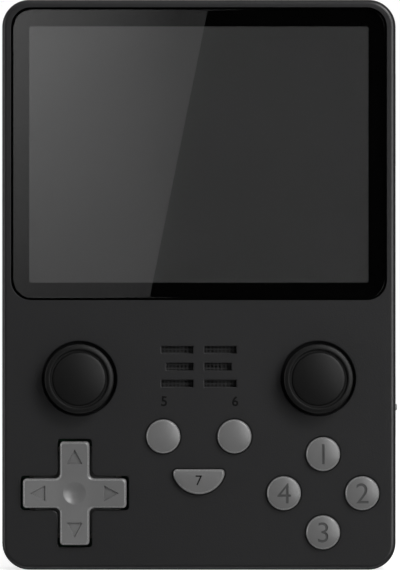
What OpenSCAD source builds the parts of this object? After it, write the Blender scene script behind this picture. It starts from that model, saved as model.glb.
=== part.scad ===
// Vertical handheld game console: a screen above two thumb sticks, a direction pad and seven buttons.
// It stands on its bottom edge. X runs across the front, Z runs up and the front faces -Y.
// Each piece is drawn on a bench first: x across, y up the front, z from the back face towards the player.

/* [Body] */
// Width of the body across its front
body_w = 82.5; // [81:0.5:92]
// Height of the body
body_h = 119.5; // [118:0.5:135]
// Thickness of the body from back to front
body_t = 16.5; // [16:0.25:20]
// Radius of the four outer corners
corner_r = 5.7; // [4.5:0.1:8]
// Rounding of the front edge
front_fillet = 1.0; // [0.4:0.1:1.5]
// Rounding of the back edge
rear_fillet = 2.4; // [1:0.1:2.8]
// Thickness of the front plate
front_plate = 2.0; // [1.8:0.1:2.6]
// Thickness of the rear plate
rear_plate = 1.8; // [1.5:0.1:2.1]
// Thickness of the side walls
wall = 1.8; // [1.6:0.1:2.2]

/* [Screen] */
// Border between the body's side and the glass pocket
screen_side = 1.85; // [1.4:0.05:2.4]
// Border between the body's top and the glass pocket
screen_top = 1.6; // [1.2:0.1:2.4]
// Height of the panel below the glass pocket
panel_h = 56.5; // [50:0.5:62]
// Corner radius of the glass pocket
pocket_r = 4.2; // [2:0.1:6]
// Gap around the glass
glass_gap = 0.35; // [0.2:0.05:0.5]
// Thickness of the glass
glass_t = 1.1; // [0.7:0.1:1.2]
// Thickness of the adhesive frame
adhesive_t = 0.2; // [0.1:0.05:0.3]
// Border between the pocket's side and the display panel
lcd_side = 2.7; // [2.2:0.1:4]
// Border between the pocket's top or bottom and the display panel
lcd_end = 1.9; // [1.6:0.1:3.4]
// Thickness of the display panel
lcd_t = 1.1; // [0.8:0.1:1.4]
// Thickness of the backlight
backlight_t = 1.6; // [1.2:0.1:1.8]

/* [Buttons] */
// Diameter of the round buttons
button_d = 7.1; // [6:0.1:7.6]
// Gap around each button
button_gap = 0.27; // [0.2:0.01:0.4]
// Height of the buttons above the front face
button_proud = 1.6; // [1.2:0.1:2.4]
// How far a button is pressed
button_travel = 0.9; // [0.4:0.1:1.1]
// Distance from the right action button's centre to the body's side
action_side = 7.05; // [6.9:0.05:7.8]
// Height of those centres above the bottom edge
cluster_y = 16.1; // [16:0.1:17]
// Distance of the two menu buttons from the middle
menu_x = 7.45; // [6.5:0.05:8]
// Height of the menu buttons above the bottom edge
menu_y = 28; // [27:0.1:29]
// Radius of the half-round function button
function_r = 5.6; // [5:0.1:6]
// Height of the centre of its arc above the bottom edge
function_y = 21.5; // [21.3:0.1:21.8]

/* [Direction pad] */
// Length of the pad from arm end to arm end
pad_span = 21.8; // [20:0.1:22]
// Width of an arm
pad_arm = 6.3; // [5.5:0.1:7]
// Gap around the pad
pad_gap = 0.45; // [0.4:0.01:0.6]
// Height of the pad above the front face
pad_proud = 1.5; // [1:0.1:2]
// Tilt of the pad each way, in degrees
pad_tilt = 3.5; // [2:0.5:3.5]

/* [Thumb sticks] */
// Height of the sticks above the bottom edge
stick_y = 40.1; // [39.5:0.1:41.5]
// Radius of the stick's cap
cap_r = 7.24; // [6.8:0.02:7.5]
// Gap between the cap and its hole
cap_gap = 0.61; // [0.5:0.01:0.8]
// Height of the cap's rim
rim_h = 1.3; // [1:0.1:1.8]
// Tilt of the stick each way, in degrees
stick_tilt = 14; // [8:0.5:14]

/* [Shoulder keys] */
// Space between the body's middle and the first hinge ear
key_middle = 4.4; // [3.4:0.1:5]
// Space between the last hinge ear and the side wall
key_side = 1.45; // [1.4:0.05:2.4]
// Height of a shoulder key
key_h = 9.7; // [8.5:0.1:10.2]
// Height of the keys above the back face
key_proud = 2.6; // [1.5:0.1:4]
// Turn of a pressed key, in degrees
key_turn = 6; // [3:0.5:6]

/* [Sides] */
// Length of the volume rocker
volume_len = 19.9; // [16:0.1:22]
// Distance of the rocker's middle from the top edge
volume_top = 25; // [24:0.1:28]
// Length of the power button
power_len = 13.4; // [10:0.1:14]
// Height of the power button's middle above the bottom edge
power_y = 33.9; // [30:0.1:40]
// Height of the side keys across the body's thickness
side_key_t = 3.2; // [2.6:0.1:3.4]
// How far the side keys stand out
side_proud = 0.3; // [0.2:0.05:0.6]

/* [Inside] */
// Thickness of the main board
board_t = 1.2; // [1:0.1:1.4]
// Depth of the space between the front plate and the board
board_gap = 3.9; // [3.8:0.05:4.2]
// Space between the battery and each side wall
battery_side = 14.45; // [12:0.05:19]
// Space between the battery and the hinges of the shoulder keys
battery_clear = 6.9; // [6.5:0.1:16]
// Thickness of the battery
battery_t = 5.2; // [3.6:0.1:5.4]
// Length of the headphone jack's bore
jack_len = 14; // [12:0.1:14]
// Radius of the headphone jack's bore
jack_r = 1.8; // [1.8:0.01:1.85]

/* [Hidden] */
$fn = 48;

// Overlap that lets one cut or joined shape pass cleanly into the next
bite = 0.5;
// Radial clearance of a pin or screw that runs in its own hole
run_fit = 0.05;
// Small clearance between pieces that lie against each other
rest_gap = 0.1;

// Levels through the thickness, from the front plate back to the seam between the shells
front_in = body_t - front_plate;
board_front = front_in - board_gap;
board_back = board_front - board_t;
seam_drop = 1.2;
seam_z = board_back - seam_drop;
side_in = body_w / 2 - wall;
top_in = body_h - wall;

// The pad, the action buttons and the sticks sit at these shares of the width
cluster_share = 52 / 165;
cluster_x = body_w * cluster_share;
button_spread = body_w / 2 - action_side - cluster_x;
stick_share = 10 / 33;
stick_x = body_w * stick_share;

// Tongue of the rear shell that sits in a step of the front shell, and its two snap beads
tongue_t = 0.8;
tongue_h = 1.0;
bead_r = 0.3;
bead_len = 12;
bead_inset = 13.45;
bead_x = side_in - bead_inset;

// Screen: the glass lies flush in its pocket, with the display bonded behind it
pocket_w = body_w - 2 * screen_side;
pocket_h = body_h - screen_top - panel_h;
screen_y = body_h - screen_top - pocket_h / 2;
glass_w = pocket_w - 2 * glass_gap;
glass_h = pocket_h - 2 * glass_gap;
glass_r = pocket_r - glass_gap;
glass_back = body_t - glass_t;
ledge_z = glass_back - adhesive_t;
lcd_w = pocket_w - 2 * lcd_side;
lcd_h = pocket_h - 2 * lcd_end;
lcd_gap = 0.2;
lcd_r = 0.6;
window_w = lcd_w + 2 * lcd_gap;
window_h = lcd_h + 2 * lcd_gap;
window_r = lcd_r + lcd_gap;
adhesive_inset = 0.2;
lcd_back = glass_back - lcd_t;
backlight_back = lcd_back - backlight_t;

// Flat ribbon that folds from the backlight to a plug on the board
ribbon_w = 20;
ribbon_t = 0.15;
ribbon_run = 6;
ribbon_rise = 1.5;
ribbon_y = screen_y - lcd_h / 2 + 1.5;
ribbon_plug_w = 22;
ribbon_plug_l = 4;
ribbon_plug_y = ribbon_y + 3;
ribbon_low = backlight_back - ribbon_rise;
ribbon_plug_top = ribbon_low + 0.55;

// Screws: points on the front, sizes, and the bosses and posts that take them
case_inset = 4.3;
case_x = side_in - case_inset;
case_low = 5;
case_drop = 4;
case_high = panel_h - case_drop;
case_points = [[case_x, case_low], [-case_x, case_low], [case_x, case_high], [-case_x, case_high]];
board_share = 0.52;
board_upper = [stick_x * board_share, 36.5];
board_lower = [10.5, 8];
board_points = [
  board_upper, [-board_upper[0], board_upper[1]], board_lower, [-board_lower[0], board_lower[1]]
];
shank_r = 0.95;
case_head_r = 1.8;
case_head_h = 1.3;
case_seat = rear_plate + 0.2;
counterbore_r = case_head_r + 0.2;
post_r = 2.5;
board_head_r = 1.7;
board_head_h = 1.0;
boss_r = 2.2;
thread_len = 2.9;
cross_w = 0.5;
cross_depth = 0.7;
cross_span = 1.3;
board_hole_r = shank_r + 0.35;

// Main board and what stands on its back
board_side_gap = 0.55;
board_w = 2 * (side_in - board_side_gap);
board_h = top_in - wall - 2 * board_side_gap;
board_r = corner_r - wall - board_side_gap + 0.3;
chip_r = 0.3;
chip_top = [49.5, 31.5];
chip_row = [body_h - chip_top[0], body_h - chip_top[1]];
chip_list = [
  [0, chip_row[0], 15, 15, 1.4], [-2, chip_row[1], 14, 10, 1],
  [15, chip_row[1] - 2, 8, 8, 0.9], [14, chip_row[0], 6, 9, 0.9]
];

// Shoulder keys: hinged on a pin at their lower edge, with domes and a small board in front of them
key_inset = 4.5;
key_top = body_h - key_inset;
key_low = key_top - key_h;
ear_t = 1.6;
ear_gap = 0.2;
key_pitch = (side_in - key_side - key_middle - ear_t) / 2;
key_w = key_pitch - ear_t - 2 * ear_gap;
bumper_x = key_middle + (ear_t + key_pitch) / 2;
trigger_x = bumper_x + key_pitch;
key_round = 1.6;
key_gap = 0.25;
key_top_gap = 0.5;
key_lip = 0.6;
key_lip_top = 0.9;
key_plate_t = 0.8;
key_plate_z = rear_plate + 2 * rest_gap;
barrel_r = 1.4;
pin_r = 0.8;
hinge_y = key_low - 0.7;
hinge_z = key_plate_z + barrel_r;
ear_half = 1.7;
key_lip_low = hinge_y + ear_half + 0.2;
ear_x = [bumper_x - key_pitch / 2, bumper_x + key_pitch / 2, trigger_x + key_pitch / 2];
key_board_z = rear_plate + 3.2;
key_board_t = 0.8;
key_board_low = hinge_y + 2.8;
key_board_high = top_in - 0.8;
key_board_gap = 0.25;
ledge_t = 1.75;
ledge_y = [key_board_low + 0.6, key_board_high - 0.9];
peg_r = 0.7;
peg_post_r = 2.2;
peg_y = key_top - 3;
peg_rise = 0.5;
key_sheet_t = 0.5;
key_dome_r = 2.2;
key_dome_tip_r = 1.6;
key_dome_y = key_top - 3;
key_sheet_w = key_pitch + key_w - 1;
key_sheet_h = 6;
key_sheet_r = 1;

// Battery on the rear plate, and its lead
battery_y = 38;
battery_r = 1.5;
battery_w = 2 * (side_in - battery_side);
battery_top = hinge_y - ear_half - battery_clear;
battery_h = battery_top - battery_y;
lead_x = 18;
lead_z = rear_plate + battery_t / 2;
lead_r = 0.45;
lead_pitch = 1.4;
lead_y = battery_top + 4;
lead_plug = [6, 4, 2.2];

// Speaker behind its slots
speaker_w = 18;
speaker_h = 12;
speaker_r = 2;
speaker_t = 3.2;
speaker_y = 42.6;
mesh_t = 0.3;
speaker_front = front_in - mesh_t;
cone_r = 4.6;
cone_depth = 0.5;
slot_h = 1.6;
slot_pitch = 3.52;
slot_in = 1.15;
slot_out = [6.85, 7.9];
speaker_plug = [2.6, 3.4, 1.6];
speaker_plug_x = speaker_w / 2 + 2.4;
speaker_lead_z = board_front + 0.9;

// Ports on the top edge, cards on the left edge, headphone jack on the bottom edge
port_x = 11;
port_w = 8.94;
port_t = 3.2;
port_r = port_t / 2 - 0.01;
port_wall = 0.3;
port_floor = 1;
port_len = 7.3;
port_inset = 0.2;
port_gap = 0.15;
port_z = board_back - port_t / 2;
port_tongue = [6.7, 4.6, 0.7];
card_top = [25, 43.5];
card_y = [body_h - card_top[0], body_h - card_top[1]];
card_w = 11.6;
card_slot_h = 1.1;
socket_w = 14;
socket_l = 14.5;
socket_t = 1.5;
socket_end = 1;
card_t = 0.8;
jack_barrel_r = 2.8;
jack_half = 3.1;
jack_drop = 2.3;
jack_tab = 1.5;
jack_tab_t = 0.8;
jack_tab_low = wall + board_side_gap + 1;
jack_gap = 0.4;
jack_end = jack_len + 0.4;

// Push buttons: flange below the front plate, rubber domes on the board under them
flange_t = 1;
flange_lip = 0.95;
flange_top = front_in - rest_gap;
flange_bottom = flange_top - flange_t;
button_edge = 0.6;
button_top = body_t + button_proud;
action_turns = [0, -90, 180, 90];
sheet_t = 0.6;
dome_r = 2.9;
dome_tip_r = 2.2;
dome_bore_r = 1.5;
dome_roof = 0.8;
action_sheet_r = button_spread + dome_r + 0.3;
function_chord = 0.38;
function_half = 5.35;
function_corner = 0.7;
function_edge = 0.3;
function_dome_y = function_y - 2.9;
menu_sheet_side = 4;
menu_sheet = [2 * (menu_x + menu_sheet_side), 16.8];
menu_sheet_y = 23.6;
menu_sheet_r = 3;

// Direction pad: it rocks on a ball, and its flange stays clear of the plate when fully tilted
function lean(a) = acos(cos(a) * cos(a));
ball_r = 1.5;
pad_pivot_z = board_front + ball_r + rest_gap;
pad_flange_r = 9.2;
pad_flange_t = 0.8;
pad_flange_top = front_in - pad_flange_r * sin(lean(pad_tilt)) - 2 * rest_gap;
pad_bottom = pad_flange_top - pad_flange_t;
pad_top = body_t + pad_proud;
pad_round = 0.75;
pad_inner = 1.1;
dimple_r = 2.4;
dimple_depth = 0.5;
dimple_ball = (dimple_r * dimple_r + dimple_depth * dimple_depth) / (2 * dimple_depth);
arrow_base = 6.2;
arrow_tip = 9.2;
arrow_half = 1.6;
arrow_line = 0.35;
arrow_depth = 0.25;
quarter_turns = [0, 90, 180, 270];
pad_sheet_r = 10.2;
pad_dome_at = 7;
pad_dome_r = 2.4;
pad_dome_tip_r = 1.8;
pad_dome_bore_r = pad_dome_tip_r - 0.6;
ball_hole_r = ball_r + 0.7;

// Thumb stick: two crossed yokes on one centre, a lever pinned in the lower one, a cap on the lever
hole_r = cap_r + cap_gap;
pivot_z = board_front + 1.8;
rim_clear = 0.25;
stick_lean = lean(stick_tilt);
rim_under = (body_t + rim_clear - pivot_z + cap_r * sin(stick_lean)) / cos(stick_lean);
groove_out = cap_r - 1.14;
groove_in = groove_out - 0.65;
rim_crest = (cap_r - groove_out) / 2;
dome_rise = 0.4;
dome_depth = 0.6;
dome_ball = (groove_in * groove_in + dome_depth * dome_depth) / (2 * dome_depth);
stick_top = rim_under + rim_h + dome_rise;
rim_chamfer = 0.34;
skirt_out = 7;
skirt_in = 6.4;
skirt_from = 20;
skirt_to = 60;
skirt_step = 20;
skirt_reach = 9;
neck_r = 2.9;
neck_low = 5.8;
lever_r = 0.85;
lever_top_r = 1.3;
lever_step = 3;
lever_foot = 0.7;
lever_pin_r = 0.35;
socket_deep = 0.4;
housing_half = 7.8;
housing_wall = 0.5;
housing_floor = 0.4;
housing_cover = 0.4;
housing_top = front_in - 2 * rest_gap - board_front;
cover_open_r = skirt_out + 0.15;
yoke_half = 5.6;
yoke_w = 3;
yoke_t = 1.4;
shaft_r = 0.6;
lower_slot = [3.4, 1.9];
arch_low = 1.6;
arch_high = 2.2;
arch_leg = 0.7;
upper_slot = [1.9, 4.4];

// Side keys on the right wall, and the switches behind them
side_z = seam_z - 2.2;
side_gap = 0.2;
side_out = body_w / 2 + side_proud;
volume_y = body_h - volume_top;
volume_in = side_in - 0.7;
volume_pin_x = volume_in - 0.45;
volume_pin_r = 0.6;
volume_pin_low = rear_plate + 0.8;
volume_web = 1.2;
volume_post_top = side_z - side_key_t / 2 - 2 * rest_gap;
volume_switch_at = 6;
power_in = side_in - 0.85;
power_plate_t = 0.7;
power_lip = 0.7;
power_lip_t = 0.5;
power_travel = 0.5;
nub_r = 0.7;
nub_proud = 0.3;
switch_l = 2.6;
switch_w = 4;
switch_t = 3.6;
plunger_l = 0.4;
plunger_w = 1.6;
plunger_t = 1.2;
volume_tip = volume_in - 0.35;
power_tip = power_in - power_travel - rest_gap;

// Bare recess on the back
recess_w = 44;
recess_h = 22;
recess_r = 2;
recess_y = 64;
recess_depth = 0.3;

// Shift that puts the origin in the middle of the whole depth, sticks and shoulder keys included
mid_depth = (pivot_z + stick_top - key_proud) / 2;

shell_black = "#2c2c2d";
button_grey = "#696969";
rubber_black = "#1d1d1e";
board_green = "#1f4a33";
metal = "#b8b9bc";
plastic_black = "#151515";
silicone = "#d8d6cf";
panel_grey = "#303031";
foil_grey = "#5a5d63";
wire_red = "#a03028";
copper = "#b9772c";

// Stands a piece up from the bench, front towards the player
module upright() {
  translate([0, mid_depth, 0]) rotate([90, 0, 0]) children();
}

module rod_x(x0, x1, y, z, r) {
  translate([x0, y, z]) rotate([0, 90, 0]) cylinder(r = r, h = x1 - x0);
}

module rod_y(x, y0, y1, z, r) {
  translate([x, y0, z]) rotate([-90, 0, 0]) cylinder(r = r, h = y1 - y0);
}

module rod_z(p, z0, z1, r) {
  translate([p[0], p[1], z0]) cylinder(r = r, h = z1 - z0);
}

// Box between two values on each axis
module block(x, y, z) {
  translate([x[0], y[0], z[0]]) cube([x[1] - x[0], y[1] - y[0], z[1] - z[0]]);
}

module rounded_rect(w, h, r) {
  square([w - 2 * r, h], center = true);
  square([w, h - 2 * r], center = true);
  for (x = [-1, 1], y = [-1, 1])
    translate([x * (w / 2 - r), y * (h / 2 - r)]) circle(r);
}

// Flat rounded plate centred on a point of the front
module plate(p, w, h, r, z0, z1) {
  translate([p[0], p[1], z0]) linear_extrude(z1 - z0) rounded_rect(w, h, r);
}

// Half section of a slab whose upper edge is rounded
module edge_profile(reach, t, f) {
  square([reach, t - f]);
  square([reach - f, t]);
  translate([reach - f, t - f]) circle(f);
}

module pair_profile(half, t, f) {
  edge_profile(half, t, f);
  mirror([1, 0]) edge_profile(half, t, f);
}

module edge_bar(length, half, t, f) {
  translate([-length / 2, 0, 0]) rotate([90, 0, 90]) linear_extrude(length) pair_profile(half, t, f);
}

// Slab with round corners and a rounded upper edge
module edge_slab(w, h, t, r, f) {
  edge_bar(w - 2 * r, h / 2, t, f);
  rotate([0, 0, 90]) edge_bar(h - 2 * r, w / 2, t, f);
  for (x = [0, 1], y = [0, 1])
    mirror([x, 0, 0]) mirror([0, y, 0])
      translate([w / 2 - r, h / 2 - r, 0]) rotate_extrude(angle = 90) edge_profile(r, t, f);
}

// Outline of the space inside the walls, made wider by grow all round
module inner_outline(grow) {
  translate([0, body_h / 2])
    rounded_rect(2 * (side_in + grow), body_h - 2 * (wall - grow), corner_r - wall + grow);
}

module port_opening(x) {
  translate([x, body_h + bite, port_z]) rotate([90, 0, 0]) linear_extrude(wall + 2 * bite)
    rounded_rect(port_w + 2 * port_gap, port_t + 2 * port_gap, port_r + port_gap);
}

module edge_openings() {
  for (x = [-port_x, port_x]) port_opening(x);
  for (y = card_y)
    block([-body_w / 2 - bite, -side_in + bite], [y - card_w / 2, y + card_w / 2],
      [seam_z, seam_z + card_slot_h]);
  rod_y(0, -bite, wall + bite, seam_z, jack_barrel_r + rest_gap);
}

// Half disc with round upper corners, made wider by grow all round
module half_disc(grow) {
  r = function_r + grow;
  intersection() {
    circle(r);
    translate([0, grow - function_chord - r])
      rounded_rect(2 * (function_half + grow), 2 * r, function_corner + grow);
  }
}

// Cross of the pad, made wider by grow all round; corners keep their radii, so a tilted pad clears its hole
module cross_outline(grow) {
  half = pad_arm / 2 + grow;
  rounded_rect(pad_span + 2 * grow, 2 * half, pad_round);
  rounded_rect(2 * half, pad_span + 2 * grow, pad_round);
  for (x = [0, 1], y = [0, 1]) mirror([x, 0]) mirror([0, y]) difference() {
    translate([half - rest_gap, half - rest_gap]) square(pad_inner + rest_gap);
    translate([half + pad_inner, half + pad_inner]) circle(pad_inner);
  }
}

function action_point(turn) =
  [cluster_x - button_spread * sin(turn), cluster_y + button_spread * cos(turn)];

module speaker_slots() {
  for (row = [-1, 0, 1], side = [0, 1]) mirror([side, 0, 0]) translate([0, speaker_y + row * slot_pitch, 0])
    block([slot_in, slot_out[abs(row)]], [-slot_h / 2, slot_h / 2], [front_in - bite, body_t + bite]);
}

module front_openings() {
  plate([0, screen_y], pocket_w, pocket_h, pocket_r, ledge_z, body_t + bite);
  plate([0, screen_y], window_w, window_h, window_r, front_in - bite, body_t + bite);
  for (x = [-stick_x, stick_x]) rod_z([x, stick_y], front_in - bite, body_t + bite, hole_r);
  for (turn = action_turns)
    rod_z(action_point(turn), front_in - bite, body_t + bite, button_d / 2 + button_gap);
  for (x = [-menu_x, menu_x])
    rod_z([x, menu_y], front_in - bite, body_t + bite, button_d / 2 + button_gap);
  translate([0, function_y, front_in - bite])
    linear_extrude(front_plate + 2 * bite) half_disc(button_gap);
  translate([-cluster_x, cluster_y, front_in - bite])
    linear_extrude(front_plate + 2 * bite) cross_outline(pad_gap);
  speaker_slots();
}

module snap_beads(r) {
  for (x = [-bead_x, bead_x])
    rod_x(x - bead_len / 2, x + bead_len / 2, top_in + tongue_t, seam_z + tongue_h / 2, r);
}

module front_shell() {
  color(shell_black) upright() difference() {
    union() {
      difference() {
        translate([0, body_h / 2, seam_z])
          edge_slab(body_w, body_h, body_t - seam_z, corner_r, front_fillet);
        translate([0, 0, seam_z - bite]) linear_extrude(front_in - seam_z + bite) inner_outline(0);
        translate([0, 0, seam_z - bite])
          linear_extrude(tongue_h + rest_gap + bite) inner_outline(tongue_t + rest_gap);
        snap_beads(bead_r + rest_gap);
      }
      for (p = concat(case_points, board_points)) rod_z(p, board_front, front_in + bite, boss_r);
    }
    for (p = concat(case_points, board_points))
      rod_z(p, board_front - bite, board_front + thread_len + 2 * rest_gap, shank_r + run_fit);
    front_openings();
    edge_openings();
  }
}

module key_window(x) {
  block([x - key_w / 2 - key_gap, x + key_w / 2 + key_gap], [key_low - key_gap, key_top + key_top_gap],
    [-bite, rear_plate + bite]);
}

// What stands up from the rear plate: screw posts, hinge ears, and supports of the key board and the rocker
module rear_supports() {
  for (p = case_points) rod_z(p, rear_plate - bite, board_back, post_r);
  for (side = [0, 1], x = ear_x) mirror([side, 0, 0]) {
    block([x - ear_t / 2, x + ear_t / 2], [hinge_y - ear_half, hinge_y + ear_half],
      [rear_plate - bite, hinge_z]);
    rod_x(x - ear_t / 2, x + ear_t / 2, hinge_y, hinge_z, ear_half);
  }
  for (side = [0, 1]) mirror([side, 0, 0])
    block([side_in - ledge_t, side_in + bite], ledge_y, [rear_plate - bite, key_board_z]);
  rod_z([0, peg_y], rear_plate - bite, key_board_z, peg_post_r);
  rod_z([0, peg_y], rear_plate, key_board_z + key_board_t + peg_rise, peg_r);
  block([volume_pin_x - volume_web, side_in + bite], [volume_y - volume_web, volume_y + volume_web],
    [rear_plate - bite, volume_post_top]);
}

module side_windows() {
  high = side_key_t / 2 + side_gap;
  for (key = [[volume_y, volume_len], [power_y, power_len]]) translate([0, key[0], side_z])
    block([side_in - bite, body_w / 2 + bite], [-key[1] / 2 - side_gap, key[1] / 2 + side_gap],
      [-high, high]);
}

module rear_shell() {
  color(shell_black) upright() difference() {
    union() {
      difference() {
        translate([0, body_h / 2, seam_z]) mirror([0, 0, 1])
          edge_slab(body_w, body_h, seam_z, corner_r, rear_fillet);
        translate([0, 0, rear_plate]) linear_extrude(seam_z) inner_outline(0);
      }
      translate([0, 0, seam_z - bite]) linear_extrude(tongue_h + bite) difference() {
        inner_outline(tongue_t);
        inner_outline(0);
      }
      snap_beads(bead_r);
      rear_supports();
    }
    for (p = case_points) {
      rod_z(p, -bite, case_seat, counterbore_r);
      rod_z(p, 0, board_back + bite, shank_r + 2 * rest_gap);
    }
    for (side = [0, 1]) mirror([side, 0, 0]) {
      key_window(bumper_x);
      key_window(trigger_x);
      rod_x(ear_x[0] - ear_t, ear_x[2] + ear_t, hinge_y, hinge_z, pin_r + run_fit);
    }
    rod_z([volume_pin_x, volume_y], volume_pin_low - rest_gap, volume_post_top + bite,
      volume_pin_r + run_fit);
    plate([0, recess_y], recess_w, recess_h, recess_r, -bite, recess_depth);
    side_windows();
    edge_openings();
  }
}

// Pan-head screw whose head faces the back, with a cross recess
module screw(p, seat, tip, head_r, head_h) {
  difference() {
    union() {
      rod_z(p, seat - head_h, seat, head_r);
      rod_z(p, seat - head_h / 2, tip, shank_r);
    }
    for (turn = [0, 90]) translate([p[0], p[1], seat - head_h]) rotate([0, 0, turn])
      cube([cross_span * head_r, cross_w, 2 * cross_depth], center = true);
  }
}

module case_screws() {
  color(metal) upright() for (p = case_points)
    screw(p, case_seat, board_front + thread_len, case_head_r, case_head_h);
}

module board_screws() {
  color(metal) upright() for (p = board_points)
    screw(p, board_back, board_front + thread_len, board_head_r, board_head_h);
}

module screen_glass() {
  color(plastic_black) upright() plate([0, screen_y], glass_w, glass_h, glass_r, glass_back, body_t);
}

module screen_adhesive() {
  color(plastic_black) upright() translate([0, screen_y, ledge_z]) linear_extrude(adhesive_t) difference() {
    rounded_rect(glass_w - 2 * adhesive_inset, glass_h - 2 * adhesive_inset, glass_r - adhesive_inset);
    rounded_rect(window_w + adhesive_inset, window_h + adhesive_inset, window_r);
  }
}

module lcd_panel() {
  color(panel_grey) upright() plate([0, screen_y], lcd_w, lcd_h, lcd_r, lcd_back, glass_back);
}

module lcd_backlight() {
  color(metal) upright() plate([0, screen_y], lcd_w, lcd_h, lcd_r, backlight_back, lcd_back);
}

// Side view of the ribbon: a run along the backlight, a half turn and a run to the plug
module ribbon_section() {
  bend = ribbon_rise / 2;
  translate([0, bend - ribbon_t]) square([ribbon_run, ribbon_t]);
  translate([0, -bend]) square([ribbon_plug_y - ribbon_y + rest_gap, ribbon_t]);
  difference() {
    circle(bend);
    circle(bend - ribbon_t);
    translate([0, -2 * bend]) square([4 * bend, 4 * bend]);
  }
}

module lcd_ribbon() {
  color(copper) upright() {
    translate([-ribbon_w / 2, ribbon_y, ribbon_low + ribbon_rise / 2]) rotate([90, 0, 90])
      linear_extrude(ribbon_w) ribbon_section();
    block([-ribbon_plug_w / 2, ribbon_plug_w / 2], [ribbon_plug_y, ribbon_plug_y + ribbon_plug_l],
      [board_front, ribbon_plug_top]);
  }
}

module main_board() {
  color(board_green) upright() difference() {
    plate([0, body_h / 2], board_w, board_h, board_r, board_back, board_front);
    for (p = concat(case_points, board_points))
      rod_z(p, board_back - bite, board_front + bite, board_hole_r);
    block([-jack_half - jack_gap, jack_half + jack_gap], [0, jack_end + jack_gap],
      [board_back - bite, board_front + bite]);
  }
}

module main_chips() {
  color(plastic_black) upright() for (c = chip_list)
    plate([c[0], c[1]], c[2], c[3], chip_r, board_back - c[4], board_back);
}

module battery() {
  color(foil_grey) upright() plate([0, battery_y + battery_h / 2], battery_w, battery_h, battery_r,
    rear_plate, rear_plate + battery_t);
}

module battery_lead() {
  color(wire_red) upright() {
    for (side = [-1, 1]) {
      x = lead_x + side * lead_pitch / 2;
      rod_y(x, battery_top, lead_y, lead_z, lead_r);
      translate([x, lead_y, lead_z]) sphere(lead_r);
      rod_z([x, lead_y], lead_z, board_back - lead_plug[2] / 2, lead_r);
    }
    translate([lead_x, lead_y, board_back])
      block([-lead_plug[0] / 2, lead_plug[0] / 2], [-lead_plug[1] / 2, lead_plug[1] / 2], [-lead_plug[2], 0]);
  }
}

module speaker() {
  color(plastic_black) upright() difference() {
    plate([0, speaker_y], speaker_w, speaker_h, speaker_r, speaker_front - speaker_t, speaker_front);
    rod_z([0, speaker_y], speaker_front - cone_depth, speaker_front + bite, cone_r);
  }
}

module speaker_mesh() {
  color(plastic_black) upright()
    plate([0, speaker_y], speaker_w, speaker_h, speaker_r, speaker_front, front_in);
}

module speaker_lead() {
  color(wire_red) upright() {
    for (side = [-1, 1])
      rod_x(speaker_w / 2, speaker_plug_x + bite, speaker_y + side * lead_pitch / 2,
        speaker_lead_z, lead_r);
    translate([speaker_plug_x, speaker_y, board_front])
      block([0, speaker_plug[0]], [-speaker_plug[1] / 2, speaker_plug[1] / 2], [0, speaker_plug[2]]);
  }
}

module port_section(inset) {
  rounded_rect(port_w - 2 * inset, port_t - 2 * inset, port_r - inset);
}

// Open metal sleeve with a contact tongue inside, standing on the back of the board
module edge_port(x) {
  color(metal) upright() translate([x, body_h - port_inset - port_len, port_z]) rotate([-90, 0, 0]) {
    difference() {
      linear_extrude(port_len) port_section(0);
      translate([0, 0, port_floor]) linear_extrude(port_len) port_section(port_wall);
    }
    translate([0, 0, port_tongue[1] / 2 + bite])
      cube([port_tongue[0], port_tongue[2], port_tongue[1]], center = true);
  }
}

module charge_port() {
  edge_port(-port_x);
}

module second_port() {
  edge_port(port_x);
}

// Jack in a notch of the board, held by two tabs on the board's back
module headphone_jack() {
  color(plastic_black) upright() difference() {
    union() {
      block([-jack_half, jack_half], [wall + rest_gap, jack_end], [seam_z - jack_drop, seam_z + jack_drop]);
      block([-jack_half - jack_tab, jack_half + jack_tab], [jack_tab_low, jack_end],
        [board_back - jack_tab_t, board_back]);
      rod_y(0, rest_gap, wall + bite, seam_z, jack_barrel_r);
    }
    rod_y(0, -bite, jack_len, seam_z, jack_r);
  }
}

module card_socket(y) {
  x0 = -side_in + board_side_gap;
  color(metal) upright() difference() {
    block([x0, x0 + socket_l], [y - socket_w / 2, y + socket_w / 2], [board_back - socket_t, board_back]);
    block([x0 - bite, x0 + socket_l - socket_end], [y - card_w / 2, y + card_w / 2],
      [seam_z + rest_gap, seam_z + rest_gap + card_t]);
  }
}

module upper_card_socket() {
  card_socket(card_y[0]);
}

module lower_card_socket() {
  card_socket(card_y[1]);
}

module arrow_groove() {
  slope = atan(arrow_half / (arrow_tip - arrow_base));
  inner_tip = arrow_tip - arrow_line / sin(slope);
  inner_half = (inner_tip - arrow_base - arrow_line) * tan(slope);
  linear_extrude(arrow_depth + bite) difference() {
    polygon([[-arrow_half, arrow_base], [arrow_half, arrow_base], [0, arrow_tip]]);
    translate([0, arrow_base + arrow_line])
      polygon([[-inner_half, 0], [inner_half, 0], [0, inner_tip - arrow_base - arrow_line]]);
  }
}

module direction_pad() {
  color(button_grey) upright() translate([-cluster_x, cluster_y, 0]) difference() {
    union() {
      translate([0, 0, pad_bottom]) linear_extrude(pad_top - pad_bottom) cross_outline(0);
      rod_z([0, 0], pad_bottom, pad_flange_top, pad_flange_r);
    }
    translate([0, 0, pad_pivot_z]) sphere(ball_r + run_fit);
    translate([0, 0, pad_top - dimple_depth + dimple_ball]) sphere(dimple_ball);
    for (turn = quarter_turns) rotate([0, 0, turn])
      translate([0, 0, pad_top - arrow_depth]) arrow_groove();
  }
}

module pad_pivot_ball() {
  color(metal) upright() translate([-cluster_x, cluster_y, pad_pivot_z]) sphere(ball_r);
}

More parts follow.
